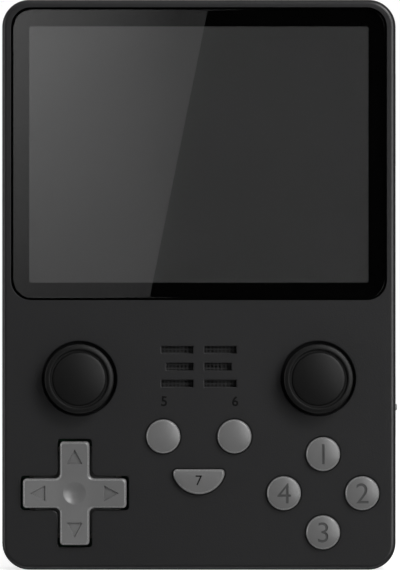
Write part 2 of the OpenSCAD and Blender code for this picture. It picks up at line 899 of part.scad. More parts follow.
// Hollow rubber dome whose foot stands on the board
module rubber_dome(p, foot_r, tip_r, tip_z) {
  rise = tip_z - board_front;
  translate([p[0], p[1], board_front]) rotate_extrude()
    polygon([[0, 0], [foot_r, 0], [tip_r, rise], [0, rise]]);
}

module dome_bore(p, tip_z) {
  rod_z(p, board_front - bite, tip_z - dome_roof, dome_bore_r);
}

module pad_membrane() {
  tip = pad_bottom - rest_gap;
  color(silicone) upright() translate([-cluster_x, cluster_y, 0]) difference() {
    union() {
      rod_z([0, 0], board_front, board_front + sheet_t, pad_sheet_r);
      for (turn = quarter_turns) rotate([0, 0, turn])
        rubber_dome([pad_dome_at, 0], pad_dome_r, pad_dome_tip_r, tip);
    }
    for (turn = quarter_turns) rotate([0, 0, turn])
      rod_z([pad_dome_at, 0], board_front - bite, tip - dome_roof, pad_dome_bore_r);
    rod_z([0, 0], board_front - bite, board_front + sheet_t + bite, ball_hole_r);
  }
}

// Round button with a flange that stays behind the front plate
module push_button(p) {
  color(button_grey) upright() translate([p[0], p[1], flange_bottom]) rotate_extrude() {
    square([button_d / 2 + flange_lip, flange_t]);
    edge_profile(button_d / 2, button_top - flange_bottom, button_edge);
  }
}

module action_button_top() {
  push_button(action_point(action_turns[0]));
}

module action_button_right() {
  push_button(action_point(action_turns[1]));
}

module action_button_bottom() {
  push_button(action_point(action_turns[2]));
}

module action_button_left() {
  push_button(action_point(action_turns[3]));
}

module action_membrane() {
  tip = flange_bottom - rest_gap;
  color(silicone) upright() difference() {
    union() {
      rod_z([cluster_x, cluster_y], board_front, board_front + sheet_t, action_sheet_r);
      for (turn = action_turns) rubber_dome(action_point(turn), dome_r, dome_tip_r, tip);
    }
    for (turn = action_turns) dome_bore(action_point(turn), tip);
  }
}

module select_button() {
  push_button([-menu_x, menu_y]);
}

module start_button() {
  push_button([menu_x, menu_y]);
}

module function_button() {
  color(button_grey) upright() translate([0, function_y, flange_bottom]) {
    linear_extrude(flange_t) half_disc(flange_lip);
    linear_extrude(button_top - flange_bottom - function_edge) half_disc(0);
    linear_extrude(button_top - flange_bottom) half_disc(-function_edge);
  }
}

module menu_membrane() {
  tip = flange_bottom - rest_gap;
  points = [[-menu_x, menu_y], [menu_x, menu_y], [0, function_dome_y]];
  color(silicone) upright() difference() {
    union() {
      plate([0, menu_sheet_y], menu_sheet[0], menu_sheet[1], menu_sheet_r,
        board_front, board_front + sheet_t);
      for (p = points) rubber_dome(p, dome_r, dome_tip_r, tip);
    }
    for (p = points) dome_bore(p, tip);
  }
}

module at_stick(side) {
  upright() translate([side * stick_x, stick_y, pivot_z]) children();
}

// Cap: convex top, groove, raised rim, neck on the lever and a round skirt that hides the yokes
module stick_cap(side) {
  color(rubber_black) at_stick(side) rotate_extrude() difference() {
    union() {
      translate([0, rim_under]) {
        polygon([[0, 0], [cap_r - rim_chamfer, 0], [cap_r, rim_chamfer], [cap_r, rim_h - rim_crest],
          [0, rim_h - rim_crest]]);
        translate([cap_r - rim_crest, rim_h - rim_crest]) circle(rim_crest);
        intersection() {
          translate([0, rim_h + dome_rise - dome_ball]) circle(dome_ball);
          square([groove_in, rim_h + dome_rise]);
        }
      }
      translate([0, neck_low]) square([neck_r, rim_under - neck_low + rest_gap]);
      intersection() {
        difference() {
          circle(skirt_out);
          circle(skirt_in);
        }
        polygon(concat([[0, 0]],
          [for (a = [skirt_from : skirt_step : skirt_to]) skirt_reach * [sin(a), cos(a)]]));
      }
    }
    square([lever_top_r + run_fit, rim_under + socket_deep]);
  }
}

module stick_lever(side) {
  color(metal) at_stick(side) {
    translate([0, 0, -lever_foot]) cylinder(r = lever_r, h = lever_foot + lever_step + bite);
    translate([0, 0, lever_step])
      cylinder(r = lever_top_r, h = rim_under + socket_deep - rest_gap - lever_step);
    rod_y(0, -yoke_w / 2, yoke_w / 2, 0, lever_pin_r);
  }
}

module stick_lower_yoke(side) {
  reach = housing_half - run_fit;
  color(silicone) at_stick(side) difference() {
    union() {
      cube([2 * yoke_half, yoke_w, yoke_t], center = true);
      rod_x(-reach, reach, 0, 0, shaft_r);
    }
    cube([lower_slot[0], lower_slot[1], 2 * yoke_t], center = true);
    rod_y(0, -yoke_w, yoke_w, 0, lever_pin_r + run_fit);
  }
}

module stick_upper_yoke(side) {
  reach = housing_half - run_fit;
  color(silicone) at_stick(side) difference() {
    union() {
      block([-yoke_w / 2, yoke_w / 2], [-yoke_half, yoke_half], [arch_low, arch_high]);
      for (end = [0, 1]) mirror([0, end, 0]) {
        block([-yoke_w / 2, yoke_w / 2], [yoke_half - arch_leg, yoke_half], [-yoke_t / 2, arch_high]);
        rod_y(0, yoke_half - arch_leg, reach, 0, shaft_r);
      }
    }
    translate([0, 0, arch_low]) cube([upper_slot[0], upper_slot[1], 2 * arch_high], center = true);
  }
}

module stick_housing(side) {
  inner = housing_half - housing_wall;
  low = board_front - pivot_z;
  color(metal) at_stick(side) difference() {
    block([-housing_half, housing_half], [-housing_half, housing_half], [low, low + housing_top]);
    block([-inner, inner], [-inner, inner], [low + housing_floor, low + housing_top - housing_cover]);
    cylinder(r = cover_open_r, h = housing_top);
    rod_x(-housing_half - bite, housing_half + bite, 0, 0, shaft_r + run_fit);
    rod_y(0, -housing_half - bite, housing_half + bite, 0, shaft_r + run_fit);
  }
}

module left_stick_cap() {
  stick_cap(-1);
}

module left_stick_lever() {
  stick_lever(-1);
}

module left_stick_lower_yoke() {
  stick_lower_yoke(-1);
}

module left_stick_upper_yoke() {
  stick_upper_yoke(-1);
}

module left_stick_housing() {
  stick_housing(-1);
}

module right_stick_cap() {
  stick_cap(1);
}

module right_stick_lever() {
  stick_lever(1);
}

module right_stick_lower_yoke() {
  stick_lower_yoke(1);
}

module right_stick_upper_yoke() {
  stick_upper_yoke(1);
}

module right_stick_housing() {
  stick_housing(1);
}

// Shoulder key: a rounded bar through the rear plate, a plate behind the window and a hinge barrel
module shoulder_key(x) {
  half = key_w / 2;
  plate_z = [key_plate_z, key_plate_z + key_plate_t];
  color(button_grey) upright() translate([x, 0, 0]) difference() {
    union() {
      translate([0, (key_low + key_top) / 2, plate_z[1]]) mirror([0, 0, 1])
        edge_bar(key_w, key_h / 2, plate_z[1] + key_proud, key_round);
      block([-half - key_lip, half + key_lip], [key_lip_low, key_top + key_lip_top], plate_z);
      block([-half, half], [hinge_y, key_top], plate_z);
      rod_x(-half, half, hinge_y, hinge_z, barrel_r);
    }
    rod_x(-key_w, key_w, hinge_y, hinge_z, pin_r + run_fit);
  }
}

module left_trigger() {
  shoulder_key(-trigger_x);
}

module left_bumper() {
  shoulder_key(-bumper_x);
}

module right_bumper() {
  shoulder_key(bumper_x);
}

module right_trigger() {
  shoulder_key(trigger_x);
}

module key_pin(side) {
  color(metal) upright() mirror([side < 0 ? 1 : 0, 0, 0])
    rod_x(ear_x[0] - ear_t / 2, ear_x[2] + ear_t / 2, hinge_y, hinge_z, pin_r);
}

module left_key_pin() {
  key_pin(-1);
}

module right_key_pin() {
  key_pin(1);
}

module key_board() {
  color(board_green) upright() difference() {
    plate([0, (key_board_low + key_board_high) / 2], 2 * (side_in - key_board_gap),
      key_board_high - key_board_low, corner_r - wall, key_board_z, key_board_z + key_board_t);
    rod_z([0, peg_y], key_board_z - bite, key_board_z + key_board_t + bite, peg_r + run_fit);
  }
}

// One rubber strip a side, with a dome in front of each key
module key_membranes() {
  middle = (bumper_x + trigger_x) / 2;
  tip = key_plate_z + key_plate_t + rest_gap;
  color(silicone) upright() for (side = [-1, 1]) {
    plate([side * middle, key_dome_y], key_sheet_w, key_sheet_h, key_sheet_r,
      key_board_z - key_sheet_t, key_board_z);
    for (x = [bumper_x, trigger_x]) translate([side * x, key_dome_y, tip])
      cylinder(r1 = key_dome_tip_r, r2 = key_dome_r, h = key_board_z - tip);
  }
}

module volume_rocker() {
  z = [side_z - side_key_t / 2, side_z + side_key_t / 2];
  color(button_grey) upright() {
    block([volume_in, side_out], [volume_y - volume_len / 2, volume_y + volume_len / 2], z);
    block([volume_pin_x, volume_in + bite], [volume_y - volume_pin_r, volume_y + volume_pin_r], z);
    rod_z([volume_pin_x, volume_y], volume_pin_low, z[1], volume_pin_r);
  }
}

module power_button() {
  half = power_len / 2;
  z = [side_z - side_key_t / 2, side_z + side_key_t / 2];
  color(button_grey) upright() {
    block([power_in, side_out], [power_y - half, power_y + half], z);
    block([power_in, power_in + power_plate_t], [power_y - half - power_lip, power_y + half + power_lip],
      [z[0] - power_lip_t, z[1] + power_lip_t]);
    rod_x(side_out - bite, side_out + nub_proud, power_y, side_z, nub_r);
  }
}

module side_switch(y, tip) {
  case_end = tip - plunger_l;
  translate([0, y, 0]) {
    block([case_end - switch_l, case_end], [-switch_w / 2, switch_w / 2],
      [board_back - switch_t, board_back]);
    block([case_end - bite, tip], [-plunger_w / 2, plunger_w / 2],
      [side_z - plunger_t / 2, side_z + plunger_t / 2]);
  }
}

module side_switches() {
  color(plastic_black) upright() {
    for (end = [-1, 1]) side_switch(volume_y + end * volume_switch_at, volume_tip);
    side_switch(power_y, power_tip);
  }
}

front_shell();
rear_shell();
case_screws();
screen_glass();
screen_adhesive();
lcd_panel();
lcd_backlight();
lcd_ribbon();
main_board();
board_screws();
main_chips();
battery();
battery_lead();
speaker();
speaker_mesh();
speaker_lead();
charge_port();
second_port();
headphone_jack();
upper_card_socket();
lower_card_socket();
direction_pad();
pad_pivot_ball();
pad_membrane();
action_button_top();
action_button_right();
action_button_bottom();
action_button_left();
action_membrane();
select_button();
start_button();
function_button();
menu_membrane();
left_stick_cap();
left_stick_lever();
left_stick_lower_yoke();
left_stick_upper_yoke();
left_stick_housing();
right_stick_cap();
right_stick_lever();
right_stick_lower_yoke();
right_stick_upper_yoke();
right_stick_housing();
left_trigger();
left_bumper();
right_bumper();
right_trigger();
left_key_pin();
right_key_pin();
key_board();
key_membranes();
volume_rocker();
power_button();
side_switches();
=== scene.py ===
# %% [markdown]
# # A handheld game console
# The real object is an upright slab of black plastic. A glass-covered screen fills its upper half, and two thumb
# sticks, a direction pad, six round buttons and one half-round button fill its lower half. Its solids and joints
# come from CAD. This lesson loads them as a fixed frame and then makes a finer skin for every piece that shows,
# because moulded edges look real only when their small roundings catch the light.

# %% Load the frame
import math

import bmesh
import bpy
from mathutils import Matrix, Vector, geometry


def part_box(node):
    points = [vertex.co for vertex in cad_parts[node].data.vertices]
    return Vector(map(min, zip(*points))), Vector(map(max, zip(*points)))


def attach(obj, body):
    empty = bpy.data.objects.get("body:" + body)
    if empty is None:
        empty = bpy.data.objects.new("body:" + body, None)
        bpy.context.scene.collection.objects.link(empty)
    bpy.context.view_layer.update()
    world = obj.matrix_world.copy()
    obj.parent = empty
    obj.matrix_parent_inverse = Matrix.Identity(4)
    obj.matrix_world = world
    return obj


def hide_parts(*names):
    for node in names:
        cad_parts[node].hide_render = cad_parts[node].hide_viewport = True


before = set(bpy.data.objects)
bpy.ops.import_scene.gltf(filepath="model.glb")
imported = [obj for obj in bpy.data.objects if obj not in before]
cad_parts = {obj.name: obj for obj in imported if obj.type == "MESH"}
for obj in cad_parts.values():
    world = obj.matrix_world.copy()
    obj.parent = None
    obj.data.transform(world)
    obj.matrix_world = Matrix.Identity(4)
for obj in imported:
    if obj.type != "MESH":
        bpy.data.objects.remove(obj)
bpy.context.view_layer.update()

# %% [markdown]
# ## A bench to work on
# The console is easiest to draw lying on its back, in millimetres: x runs across, y runs up the front, and z runs
# from the back face towards the player. One function turns such a point into the frame's metres, so that no other
# line has to know how the console stands. Another puts each new object into the scene.

# %% From the bench to the frame
MM = 0.001
FRONT = 16.5
front_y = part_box("front_shell")[0].y


def at(x, y, z):
    """A bench point in millimetres, as a point of the frame in metres."""
    return Vector((x * MM, front_y + (FRONT - z) * MM, y * MM))


def placed(name, data):
    """A new object in the scene, made of its data."""
    made = bpy.data.objects.new(name, data)
    bpy.context.collection.objects.link(made)
    return made


print("the back face lies at y =", round(at(0, 0, 0).y, 5))

# %% [markdown]
# ## The camera
# The photograph looks straight at the front, and its edges hardly converge, as with a long lens from far away.
# One pixel of it spans 0.21 mm of the front. From that, the lens follows: a picture 570 pixels high has to take in
# 570 times as much, seen from 1.2 m.

# %% Set up the camera
PIXEL, PIXELS_HIGH = 0.2095, 570
DISTANCE = 1200
MIDDLE = (0.23, 59.7)
SENSOR = 36

camera_data = bpy.data.cameras.new("camera")
camera_data.sensor_width = SENSOR
camera_data.lens = SENSOR * DISTANCE / (PIXELS_HIGH * PIXEL)
camera = placed("camera", camera_data)
camera.location = at(*MIDDLE, FRONT + DISTANCE)
camera.rotation_euler = (math.radians(90), 0, 0)
bpy.context.scene.camera = camera
bpy.context.scene.view_settings.view_transform = "Standard"
print("lens of", round(camera_data.lens), "mm")

# %% [markdown]
# ## Small helpers for nodes
# Every material below is a tree of nodes. One helper turns the hex colours that designers write into the linear
# numbers that shaders read, and one adds a node with its settings and links. The others start a material, end it,
# give its patterns their coordinates, and calculate.

# %% Helpers for nodes and colours
def linear(code):
    """An sRGB hex colour as linear red, green, blue and alpha."""
    parts = [int(code[i:i + 2], 16) / 255 for i in (1, 3, 5)]
    return tuple(c / 12.92 if c <= 0.04045 else ((c + 0.055) / 1.055) ** 2.4 for c in parts) + (1.0,)


def add(tree, kind, inputs=None, **settings):
    """Adds one node. Each input is a value, or the output of another node to link from."""
    made = tree.nodes.new(kind)
    for name, value in settings.items():
        setattr(made, name, value)
    for key, value in (inputs or {}).items():
        if isinstance(value, bpy.types.NodeSocket):
            tree.links.new(value, made.inputs[key])
        else:
            made.inputs[key].default_value = value
    return made


def blank(name):
    """A new material and its empty tree."""
    made = bpy.data.materials.new(name)
    made.use_nodes = True
    made.node_tree.nodes.clear()
    return made, made.node_tree


def show(tree, shader):
    """Links a shader to the output of its material."""
    add(tree, "ShaderNodeOutputMaterial", {"Surface": shader.outputs[0]})


def own_place(tree):
    """Where a point lies on its own object, for patterns to read."""
    return add(tree, "ShaderNodeTexCoord").outputs["Object"]


def maths(tree, operation, *values):
    """The result of one Math node."""
    return add(tree, "ShaderNodeMath", dict(enumerate(values)), operation=operation).outputs[0]


def mapped(tree, value, from_low, from_high, to_low, to_high):
    """A value moved from one range to another, by a Map Range node."""
    ranges = dict(enumerate((value, from_low, from_high, to_low, to_high)))
    return add(tree, "ShaderNodeMapRange", ranges).outputs[0]


print("mid grey in linear light:", round(linear("#808080")[0], 3))

# %% [markdown]
# ## The studio
# The console is photographed on white. The world is white where a camera, a mirror or a glass looks at it, and a
# softer fill where it lights the object. A pale floor takes the shadow. A tall soft lamp at the right gives the
# crisp line on the right edge and the fall of light across each button, a small key lamp hangs at the upper right,
# and a weak one far to the left draws the thin line on the left edges.

# %% World and floor
FILL = 0.38
world = bpy.data.worlds.new("studio")
world.use_nodes = True
world.node_tree.nodes.clear()
bpy.context.scene.world = world
sky = world.node_tree
path = add(sky, "ShaderNodeLightPath").outputs
mirror_or_glass = maths(sky, "MAXIMUM", path["Is Glossy Ray"], path["Is Transmission Ray"])
looked_at = maths(sky, "MAXIMUM", path["Is Camera Ray"], mirror_or_glass)
fill = add(sky, "ShaderNodeBackground", {"Color": (1, 1, 1, 1), "Strength": FILL})
white = add(sky, "ShaderNodeBackground", {"Color": (1, 1, 1, 1), "Strength": 1.0})
both = add(sky, "ShaderNodeMixShader", {0: looked_at, 1: fill.outputs[0], 2: white.outputs[0]})
add(sky, "ShaderNodeOutputWorld", {"Surface": both.outputs[0]})


def stage_panel(name, corners):
    """A flat panel of the studio from its bench corners, with a new material whose tree is returned empty."""
    mesh = bpy.data.meshes.new(name)
    mesh.from_pydata([at(*c) for c in corners], [], [range(len(corners))])
    made = placed(name, mesh)
    paint, tree = blank(name)
    mesh.materials.append(paint)
    return made, tree


FAR = 3000
DROP = -0.05  # the floor lies a hair below the base, so that the two faces never coincide
PAPER_GLOW = 0.66  # what the camera sees of the floor besides its lit grey
floor, tree = stage_panel("floor", [(-FAR, DROP, -FAR), (FAR, DROP, -FAR), (FAR, DROP, FAR), (-FAR, DROP, FAR)])
matt = add(tree, "ShaderNodeBsdfDiffuse", {"Color": linear("#f0f0f0")})
lift = maths(tree, "MULTIPLY", add(tree, "ShaderNodeLightPath").outputs["Is Camera Ray"], PAPER_GLOW)
paper = add(tree, "ShaderNodeEmission", {"Color": (1, 1, 1, 1), "Strength": lift})
show(tree, add(tree, "ShaderNodeAddShader", {0: matt.outputs[0], 1: paper.outputs[0]}))
print("floor at z =", floor.data.vertices[0].co.z)

# %% Lamps
AIM = (0, 60, FRONT)


def lamp(name, place, size, watts):
    """A soft lamp at a bench place, aimed at the middle of the front; its size is width and height in metres."""
    data = bpy.data.lights.new(name, "AREA")
    data.shape, data.energy = "RECTANGLE", watts
    data.size, data.size_y = size
    made = placed(name, data)
    made.visible_camera = False
    made.location = at(*place)
    made.rotation_euler = (at(*AIM) - made.location).to_track_quat("-Z", "Y").to_euler()
    return made


side_lamp = lamp("side_lamp", (820, 420, 1100), (0.9, 1.4), 12.7)
key_lamp = lamp("key_lamp", (600, 850, 950), (0.4, 0.4), 4)
rim_lamp = lamp("rim_lamp", (-1100, 120, 300), (0.5, 0.8), 2.8)
print("lamps:", side_lamp.name, key_lamp.name, rim_lamp.name)

# %% [markdown]
# ## What the glass reflects
# A studio glass shows what stands behind the camera. Here that is a wide black flag, with a white card in front of
# it whose slanted edge gives the light wedge on the left of the screen. Four more flags stand to the left, to the
# right, below and above. They draw the thin dark line along the console's outline, and those at the sides reach so
# far forward that the screen stays dark when it is seen from there. All of them are seen only in reflections, and
# keep the white of the room off the dark plastic. The card's edge is placed by the mirror rule: a point x of the
# glass, seen from D away, shows the point x (1 + L / D) of a card that stands L in front of it.

# %% Flags and card
FLAG_AT, CARD_AT = 2000, 1600
WIDE, FRONT_WIDE, BACK = 3000, 4800, -2000
NEAR = {"left": 830, "right": 830, "low": 300, "high": 400}  # how far forward each of the four reaches
panels = {"front": [(x, y, FLAG_AT) for x, y in (
    (-FRONT_WIDE, -WIDE), (FRONT_WIDE, -WIDE), (FRONT_WIDE, WIDE), (-FRONT_WIDE, WIDE))]}
for name, near in NEAR.items():
    side = -FLAG_AT if name in ("left", "low") else FLAG_AT
    panels[name] = [(side, along, z) if name in ("left", "right") else (along, side, z)
                    for along, z in ((-WIDE, near), (WIDE, near), (WIDE, BACK), (-WIDE, BACK))]
flags = []
for name, corners in panels.items():
    flag, tree = stage_panel("flag_" + name, corners)
    show(tree, add(tree, "ShaderNodeEmission", {"Color": linear("#000000")}))
    flags.append(flag)


def mirrored(x, y):
    """The bench point of the card that the camera sees at a point of the glass."""
    reach = 1 + (CARD_AT - FRONT) / DISTANCE
    return MIDDLE[0] + (x - MIDDLE[0]) * reach, MIDDLE[1] + (y - MIDDLE[1]) * reach


WEDGE_TOP, WEDGE_FOOT = (1.85, 117.4), (-10.4, 56.6)  # where the wedge's edge crosses the glass
CARD_LOW, CARD_HIGH, CARD_LEFT = -60, 330, -260
CARD_DIM, CARD_LIFT = 0.12, 0.34
edge_high, edge_low = mirrored(*WEDGE_TOP), mirrored(*WEDGE_FOOT)
slant = (edge_high[0] - edge_low[0]) / (edge_high[1] - edge_low[1])
slanted = [(edge_low[0] + slant * (y - edge_low[1]), y, CARD_AT) for y in (CARD_LOW, CARD_HIGH)]
card, tree = stage_panel("card", [(CARD_LEFT, CARD_LOW, CARD_AT), *slanted, (CARD_LEFT, CARD_HIGH, CARD_AT)])
place = add(tree, "ShaderNodeSeparateXYZ", {0: own_place(tree)}).outputs
leftward = mapped(tree, place["X"], -0.01, -0.09, 0.0, 1.0)
upward = mapped(tree, place["Z"], 0.05, 0.19, 0.1, 1.0)
glow = maths(tree, "MULTIPLY_ADD", maths(tree, "MULTIPLY", leftward, upward), CARD_LIFT, CARD_DIM)
show(tree, add(tree, "ShaderNodeEmission", {"Color": (1, 1, 1, 1), "Strength": glow}))
for panel in (*flags, card):
    panel.visible_camera = panel.visible_diffuse = panel.visible_shadow = False
# A reflection from the back of the glass leaves it as a transmitted ray, so the floor is hidden from both kinds
floor.visible_glossy = floor.visible_transmission = False
print("card edge runs from", [round(c) for c in edge_low], "to", [round(c) for c in edge_high])

# %% [markdown]
# ## Moulded plastics
# The shell is ABS, moulded in a spark-eroded steel mould, which leaves a fine matt grain. The keys are a grey ABS
# from a finer mould, and the stick caps are a soft black rubber moulded in the same way. All three have uneven
# pigment on a scale of centimetres and grain on a scale of tenths of a millimetre, so one recipe serves them all,
# with other colours and sizes. The real grain is about 0.1 mm and is drawn coarser, so that it shows. Fingers polish
# the edges of keys, which get a glossier finish of their own; its paler shade is a painted highlight.

# %% Recipe for a moulded plastic
def noise(tree, place, size, detail):
    """A cloudy pattern whose features have a given size in mm."""
    made = add(tree, "ShaderNodeTexNoise", {"Vector": place, "Scale": 1 / (size * MM), "Detail": detail})
    return made.outputs["Fac"]


def blend(tree, factor, dark, light):
    """A shade between two hex colours. The node keeps its colours in inputs 6 and 7 and its result in output 2."""
    mix = add(tree, "ShaderNodeMix", {0: factor, 6: linear(dark), 7: linear(light)}, data_type="RGBA")
    return mix.outputs[2]


def moulded(name, dark, light, roughness, grain, depth, cloud=14, shine=0.5):
    """Moulded plastic or rubber from its two pigment shades, its gloss, and its grain's width and depth in mm."""
    made, tree = blank(name)
    place = own_place(tree)
    fine, wide = noise(tree, place, grain, 2.0), noise(tree, place, cloud, 3.0)
    gloss = mapped(tree, fine, 0.3, 0.7, roughness - 0.05, roughness + 0.05)
    bump = add(tree, "ShaderNodeBump", {"Height": fine, "Distance": depth * MM, "Strength": 0.5})
    show(tree, add(tree, "ShaderNodeBsdfPrincipled", {
        "Base Color": blend(tree, wide, dark, light), "Roughness": gloss, "IOR": 1.54, "Specular IOR Level": shine,
        "Normal": bump.outputs[0]}))
    return made


shell_abs = moulded("black_abs_matt", "#1e1e1f", "#222223", 0.36, 0.3, 0.03)
key_abs = moulded("grey_abs_satin", "#606060", "#676767", 0.36, 0.25, 0.015, shine=0.8)
# Fingers make key edges glossier; the paler shade of this finish is a painted highlight
polished_and_highlight_abs = moulded("grey_abs_polished_edge_painted_highlight", "#767676", "#7e7e7e", 0.27, 0.25, 0.005, shine=0.95)
# A darker grey for the faces cut by engraved numerals: painted shade in the engraving
engraving_shade_abs = moulded("dark_grey_painted_engraving_shade", "#404040", "#484848", 0.6, 0.25, 0.01)
cap_rubber = moulded("black_rubber_moulded", "#0a0a0a", "#0d0d0d", 0.48, 0.25, 0.02, shine=0.3)
# Black foam tape; the same black is also painted shade on the walls of the glass pocket
tape_and_gap_shade = moulded("black_foam_tape_and_painted_gap_shade", "#060606", "#090909", 0.9, 0.15, 0.05, shine=0.0)
print("plastics:", shell_abs.name, key_abs.name, polished_and_highlight_abs.name, engraving_shade_abs.name, cap_rubber.name, tape_and_gap_shade.name)

# %% [markdown]
# ## Outlines and skins
# A moulded piece is a stack of outlines: each edge rounding is a few outlines of slightly different size at
# slightly different depth. A Bevel modifier could round the edges too, but where holes of several shapes meet one
# face it makes uneven corners. Here every outline is a function of how far it grows, so the roundings are exact.

# %% Outlines
HOLE, STUD = 1, -1
TO_FRONT, TO_BACK = 1, -1


def arc(cx, cy, r, start, stop, steps):
    """Points along an arc, with its angles in degrees and both ends included."""
    turns = [math.radians(start + (stop - start) * i / steps) for i in range(steps + 1)]
    return [(cx + r * math.cos(t), cy + r * math.sin(t)) for t in turns]


def circle(cx, cy, r, steps=96):
    """A round outline."""
    return arc(cx, cy, r, 0, 360, steps)[:-1]


def rounded(cx, cy, w, h, r, steps=8):
    """A rectangle with round corners."""
    corners = ((1, 1, 0), (-1, 1, 90), (-1, -1, 180), (1, -1, 270))
    return [p for sx, sy, a in corners
            for p in arc(cx + sx * (w / 2 - r), cy + sy * (h / 2 - r), r, a, a + 90, steps)]


def grown(cx, cy, w, h, r, steps=8):
    """A rectangle with round corners, as a function of how far it grows on all sides."""
    return lambda grow: rounded(cx, cy, w + 2 * grow, h + 2 * grow, r + grow, steps)


def rounding(r, z, side, way=TO_FRONT, steps=4, beside=0.25):
    """Growth and depth of the outlines that round an edge of the face at z, from the face to the wall.

    The side says what the edge goes round, and the way is where the face looks. The first outline lies flat
    beside the edge, which keeps the shading of the face even.
    """
    turns = [math.radians(90 * i / steps) for i in range(steps + 1)]
    return [(side * (r + beside), z)] + [
        (side * r * (1 - math.sin(t)), z - way * r * (1 - math.cos(t))) for t in turns]


print("points round a button:", len(circle(0, 0, 3.55)))

# %% Skins between outlines
ACROSS, UP, DEEP = 0, 1, 2


def flat(outline, level, axis=DEEP):
    """An outline as bench points at one level of an axis. An outline of the front has one depth."""
    return [(*p[:axis], level, *p[axis:]) for p in outline]


def skin(bm, rings):
    """Walls from ring to ring of bench points; a ring of one point is a pole. Gives the first and last ring."""
    made = [[bm.verts.new(at(*p)) for p in ring] for ring in rings]
    for a, b in zip(made, made[1:]):
        for i in range(max(len(a), len(b))):
            corners = [a[i % len(a)], a[(i + 1) % len(a)], b[(i + 1) % len(b)], b[i % len(b)]]
            bm.faces.new(list(dict.fromkeys(corners)))
    return made[0], made[-1]


def stacked(bm, outline, rows, axis=DEEP):
    """Walls through one outline, which takes its growth and its level from each row."""
    return skin(bm, [flat(outline(grow), level, axis) for grow, level in rows])


def capped(bm, outline, rows, axis=DEEP):
    """The same walls, with a flat face on the first and on the last outline."""
    for ring in stacked(bm, outline, rows, axis):
        bm.faces.new(ring)


def cover(bm, rings, inside=()):
    """Fills the flat region between an outer ring and the rings within it, through any loose points inside."""
    verts = [v for ring in rings for v in ring] + list(inside)
    spans = [max(v.co[i] for v in verts) - min(v.co[i] for v in verts) for i in range(3)]
    i, j = [axis for axis in range(3) if axis != spans.index(min(spans))]
    points = [Vector((v.co[i], v.co[j])) / MM for v in verts]
    regions, start = [], 0
    for ring in rings:
        order = list(range(start, start + len(ring)))
        start += len(ring)
        area = sum(points[a].cross(points[b]) for a, b in zip(order, order[1:] + order[:1]))
        regions.append(order if area > 0 else order[::-1])
    result = geometry.delaunay_2d_cdt(points, [], regions, 1, 1e-6)
    # The triangulation also fills the holes, and says in which of the given regions each triangle lies
    for corners, within in zip(result[2], result[5]):
        if within == [0]:
            bm.faces.new([verts[result[3][c][0]] for c in corners])


def turned(bm, cx, cy, profile, steps=96):
    """Turns a profile of radius and depth about an axis that stands on the front."""
    return skin(bm, [flat(circle(cx, cy, r, steps), z) if r else [(cx, cy, z)] for r, z in profile])


def bar(bm, outline, xs):
    """A bar across the console, from its outline in y and z."""
    capped(bm, lambda grow: outline, [(0, x) for x in xs], ACROSS)


def block(bm, xs, ys, zs):
    """A plain box, for the hidden parts that carry a piece."""
    bar(bm, [(ys[0], zs[0]), (ys[1], zs[0]), (ys[1], zs[1]), (ys[0], zs[1])], xs)


print("axes:", ACROSS, UP, DEEP)

# %% [markdown]
# ## From skin to piece
# A skin becomes an object, other skins are cut from it or joined to it with exact Booleans, and then it is
# dressed: smooth shading with sharp creases, normals weighted by face area so that flat faces stay flat beside
# their roundings, and a ride on the CAD body that it moves with.

# %% Objects, Booleans and dressing
def solid(bm, name, *finishes):
    """An object from a bmesh, with its normals outwards and its finishes in order."""
    bmesh.ops.recalc_face_normals(bm, faces=bm.faces)
    mesh = bpy.data.meshes.new(name)
    bm.to_mesh(mesh)
    bm.free()
    for finish in finishes:
        mesh.materials.append(finish)
    return placed(name, mesh)


def tool(maker, *shape, finishes=()):
    """A shape for a Boolean, made by one of the functions above."""
    bm = bmesh.new()
    maker(bm, *shape)
    return solid(bm, "tool", *finishes)


def settle(obj):
    """Keeps what the modifiers make as the object's own mesh."""
    graph = bpy.context.evaluated_depsgraph_get()
    mesh = bpy.data.meshes.new_from_object(obj.evaluated_get(graph))
    obj.modifiers.clear()
    obj.data = mesh


def combine(obj, part, how):
    """Joins a part to the object or cuts it away. New faces have the part's finish, or else the object's first."""
    step = obj.modifiers.new("combine", "BOOLEAN")
    step.operation, step.solver, step.material_mode, step.object = how, "EXACT", "TRANSFER", part
    settle(obj)
    bpy.data.objects.remove(part)
    assert obj.data.polygons, "nothing left of " + obj.name


def dress(obj, body, slot, *nodes, crease=35):
    """Shades a finished piece and hands it to the frame."""
    obj.data.polygons.foreach_set("use_smooth", [True] * len(obj.data.polygons))
    obj.data.set_sharp_from_angle(angle=math.radians(crease))
    obj.modifiers.new("even_shading", "WEIGHTED_NORMAL").keep_sharp = True
    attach(obj, body)
    if nodes:
        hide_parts(*nodes)
    print(obj.name, len(obj.data.polygons), "faces")
    return obj


print("joining and cutting ready")

# %% [markdown]
# ## Where the openings are
# The front plate is pierced for every control. Each opening is a function of its growth, and the buttons below
# reuse the same functions, so that a button always fits its hole with an even gap.

# %% Shapes that buttons and holes share
STICKS = [(-25, 40.1), (25, 40.1)]
ACTION = {"top": (26, 24.3), "right": (34.2, 16.1), "bottom": (26, 7.9), "left": (17.8, 16.1)}
MENU = {"select": (-7.45, 28), "start": (7.45, 28)}
PAD, PAD_HALF, PAD_END = (-26, 16.1), 3.15, 10.9
FUNCTION_Y = 21.5
GRILLE_Y, SLOT_IN = 42.6, 1.15
BUTTON_R, BUTTON_GAP = 3.55, 0.2
QUARTERS = [(1, 0), (0, 1), (-1, 0), (0, -1)]  # cosine and sine of each quarter turn


